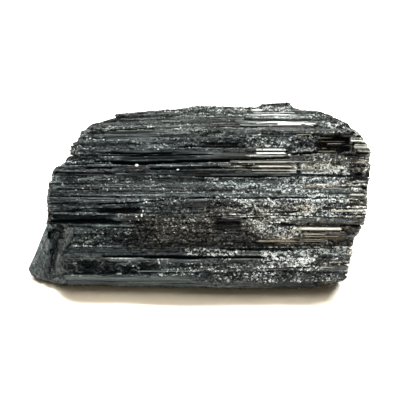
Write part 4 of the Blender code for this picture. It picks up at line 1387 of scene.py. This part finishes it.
# %% [markdown]
# A few pale flecks of another mineral, quartz or feldspar, are caught between the prisms. Each is a low
# many-sided lump: (across, high, half length, half height). Milky quartz is nearly white, a little cloudy
# and less glossy than the schorl around it.

# %% Pale flecks
FLECKS = [
    (-18.2, 35.5, 0.62, 0.42), (-6.2, 34.3, 0.45, 0.3), (-11.9, 40.3, 0.42, 0.18), (-1.4, 49.3, 0.3, 0.14),
    (26.4, 38.7, 0.45, 0.3), (-16.8, 20.9, 0.3, 0.55), (-18.2, 20.6, 0.34, 0.22), (-17.7, 19.8, 0.22, 0.3),
    (-20.1, 19.4, 0.2, 0.16), (-16.3, 22.3, 0.16, 0.4), (45.6, 45.2, 0.3, 0.3),
]
FLECK_LIFT = 0.12

quartz = new_material("quartz_milky")
milk_place = add_node(quartz, "TexCoord")
milk_space = add_node(
    quartz, "Mapping", {"Vector": (milk_place, "Object"), "Scale": per_metre(0.667, 0.667, 0.667)}
)
milk = add_node(quartz, "TexNoise", {"Vector": (milk_space, "Vector"), "Scale": 1.0, "Detail": 2.0})
milk_colour = add_node(quartz, "ValToRGB", {"Fac": (milk, "Fac")}, [(0.3, "B9B6AC"), (0.6, "F2F0EA")])
quartz_surface = add_node(
    quartz, "BsdfPrincipled", {"Base Color": (milk_colour, "Color"), "Roughness": 0.4, "IOR": 1.55}
)
add_node(quartz, "OutputMaterial", {"Surface": (quartz_surface, "BSDF")})
fleck_rng = np.random.default_rng(7)
fleck_bm = bmesh.new()
for across, high, half_length, half_height in FLECKS:
    spot = on_skin(across, high)
    centre = Vector(front_places[spot]) + Vector((0.0, *front_ways[spot])) * FLECK_LIFT
    stretch = Matrix.Diagonal((half_length, half_height, half_height, 1.0))
    shape = Matrix.Translation(centre) @ stretch @ random_turn(fleck_rng)
    bmesh.ops.create_icosphere(fleck_bm, subdivisions=1, radius=1.0, matrix=shape)
piece_from("pale_flecks", [fleck_bm], 12, [(0.0, 0.0, 0.9, 0.3, 0.0, 0.3)] * len(FLECKS), quartz)

# %% [markdown]
# Every piece belongs to the one body of the lump, so all of them ride on it.

# %% Riding on the lump
lump = bpy.data.collections.new("lump")
bpy.context.scene.collection.children.link(lump)
for piece in pieces:
    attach(piece, "root")
    lump.objects.link(piece)

# %% [markdown]
# The set is as plain as a product table: a pale floor and soft lights. The strongest light stands behind,
# so that the shadow falls to the front. The floor is so bright that only the shadow shows its warm tint.

# %% Floor
floor_bm = bmesh.new()
bmesh.ops.create_grid(floor_bm, x_segments=2, y_segments=2, size=2.0)
floor = add_object("floor", mesh_from("floor", floor_bm))
paper = new_material("warm_white_paper")
paper_surface = add_node(paper, "BsdfPrincipled", {"Base Color": linear("F8F6F0"), "Roughness": 0.9})
add_node(paper, "OutputMaterial", {"Surface": (paper_surface, "BSDF")})
floor.data.materials.append(paper)
print("floor staged")

# %% [markdown]
# The room is nearly dark and a little warm, so that the shadow on the paper is warm and not black.

# %% The room
world = bpy.data.worlds.new("soft_room")
bpy.context.scene.world = world
world.use_nodes = True
world.node_tree.nodes["Background"].inputs["Color"].default_value = linear("FFE4BC")
world.node_tree.nodes["Background"].inputs["Strength"].default_value = 0.1
print("room strength 0.1")

# %% [markdown]
# Black glossy stone shows its lights more than its own colour, so the lump and the floor have lights of
# their own, kept apart by light linking. A long low window behind draws bright lines on the prisms, a
# large soft light fills the front, and four small ones make the grains glitter.

# %% Lights
LIT_PLACE = Vector((0.0, 0.0, 0.01))


def soft_light(name, place, wide, tall, power, lit, tint="FFFFFF"):
    """A rectangular area light at a place in metres, aimed at the lump. It lights this collection alone."""
    data = bpy.data.lights.new(name, "AREA")
    data.shape = "RECTANGLE"
    data.size = wide
    data.size_y = tall
    data.energy = power
    data.color = linear(tint)[:3]
    lamp = add_object(name, data)
    lamp.location = place
    toward = LIT_PLACE - Vector(place)
    lamp.rotation_mode = "QUATERNION"
    lamp.rotation_quaternion = toward.to_track_quat("-Z", "Y")
    lamp.light_linking.receiver_collection = lit


ground = bpy.data.collections.new("ground")
bpy.context.scene.collection.children.link(ground)
ground.objects.link(floor)
soft_light("window", (0.05, 0.88, 0.85), 1.3, 0.13, 30.0, lump, "F7FCFD")
soft_light("window_on_floor", (0.1, 0.88, 0.87), 2.2, 0.1, 130.0, ground)
soft_light("side_window_left", (-0.72, 0.5, 0.84), 0.7, 0.35, 6.8, ground, "FFF2DC")
soft_light("side_window_right", (0.76, 0.44, 0.8), 0.7, 0.35, 7.8, ground, "FFF2DC")
soft_light("front_fill", (-0.1, -0.7, 1.0), 0.9, 0.9, 7.5, lump, "F0F8F7")
soft_light("glitter_top", (0.25, 0.1, 1.2), 0.14, 0.14, 1.0, lump)
soft_light("glitter_left", (-0.7, 0.1, 0.9), 0.14, 0.14, 1.4, lump)
soft_light("glitter_right", (0.75, -0.2, 0.8), 0.14, 0.14, 3.6, lump)
soft_light("glitter_front", (0.25, -0.95, 0.6), 0.14, 0.14, 2.4, lump)
bpy.context.scene.view_settings.view_transform = "Standard"
print("lights ready")

# %% [markdown]
# The camera looks at the best side from 60 centimetres away, through a long lens, so that near and far
# parts keep nearly one scale.

# %% Camera
SENSOR = 36.0

camera_data = bpy.data.cameras.new("camera")
camera_data.sensor_width = SENSOR
camera_data.lens = SENSOR * DISTANCE / WIDE
camera_data.clip_start = 0.01
camera = add_object("camera", camera_data)
camera.location = Vector(EYE) * MM
camera.rotation_mode = "QUATERNION"
camera.rotation_quaternion = Vector(-BACKWARD).to_track_quat("-Z", "Y")
bpy.context.scene.camera = camera
print("lens", round(camera_data.lens, 1), "mm")
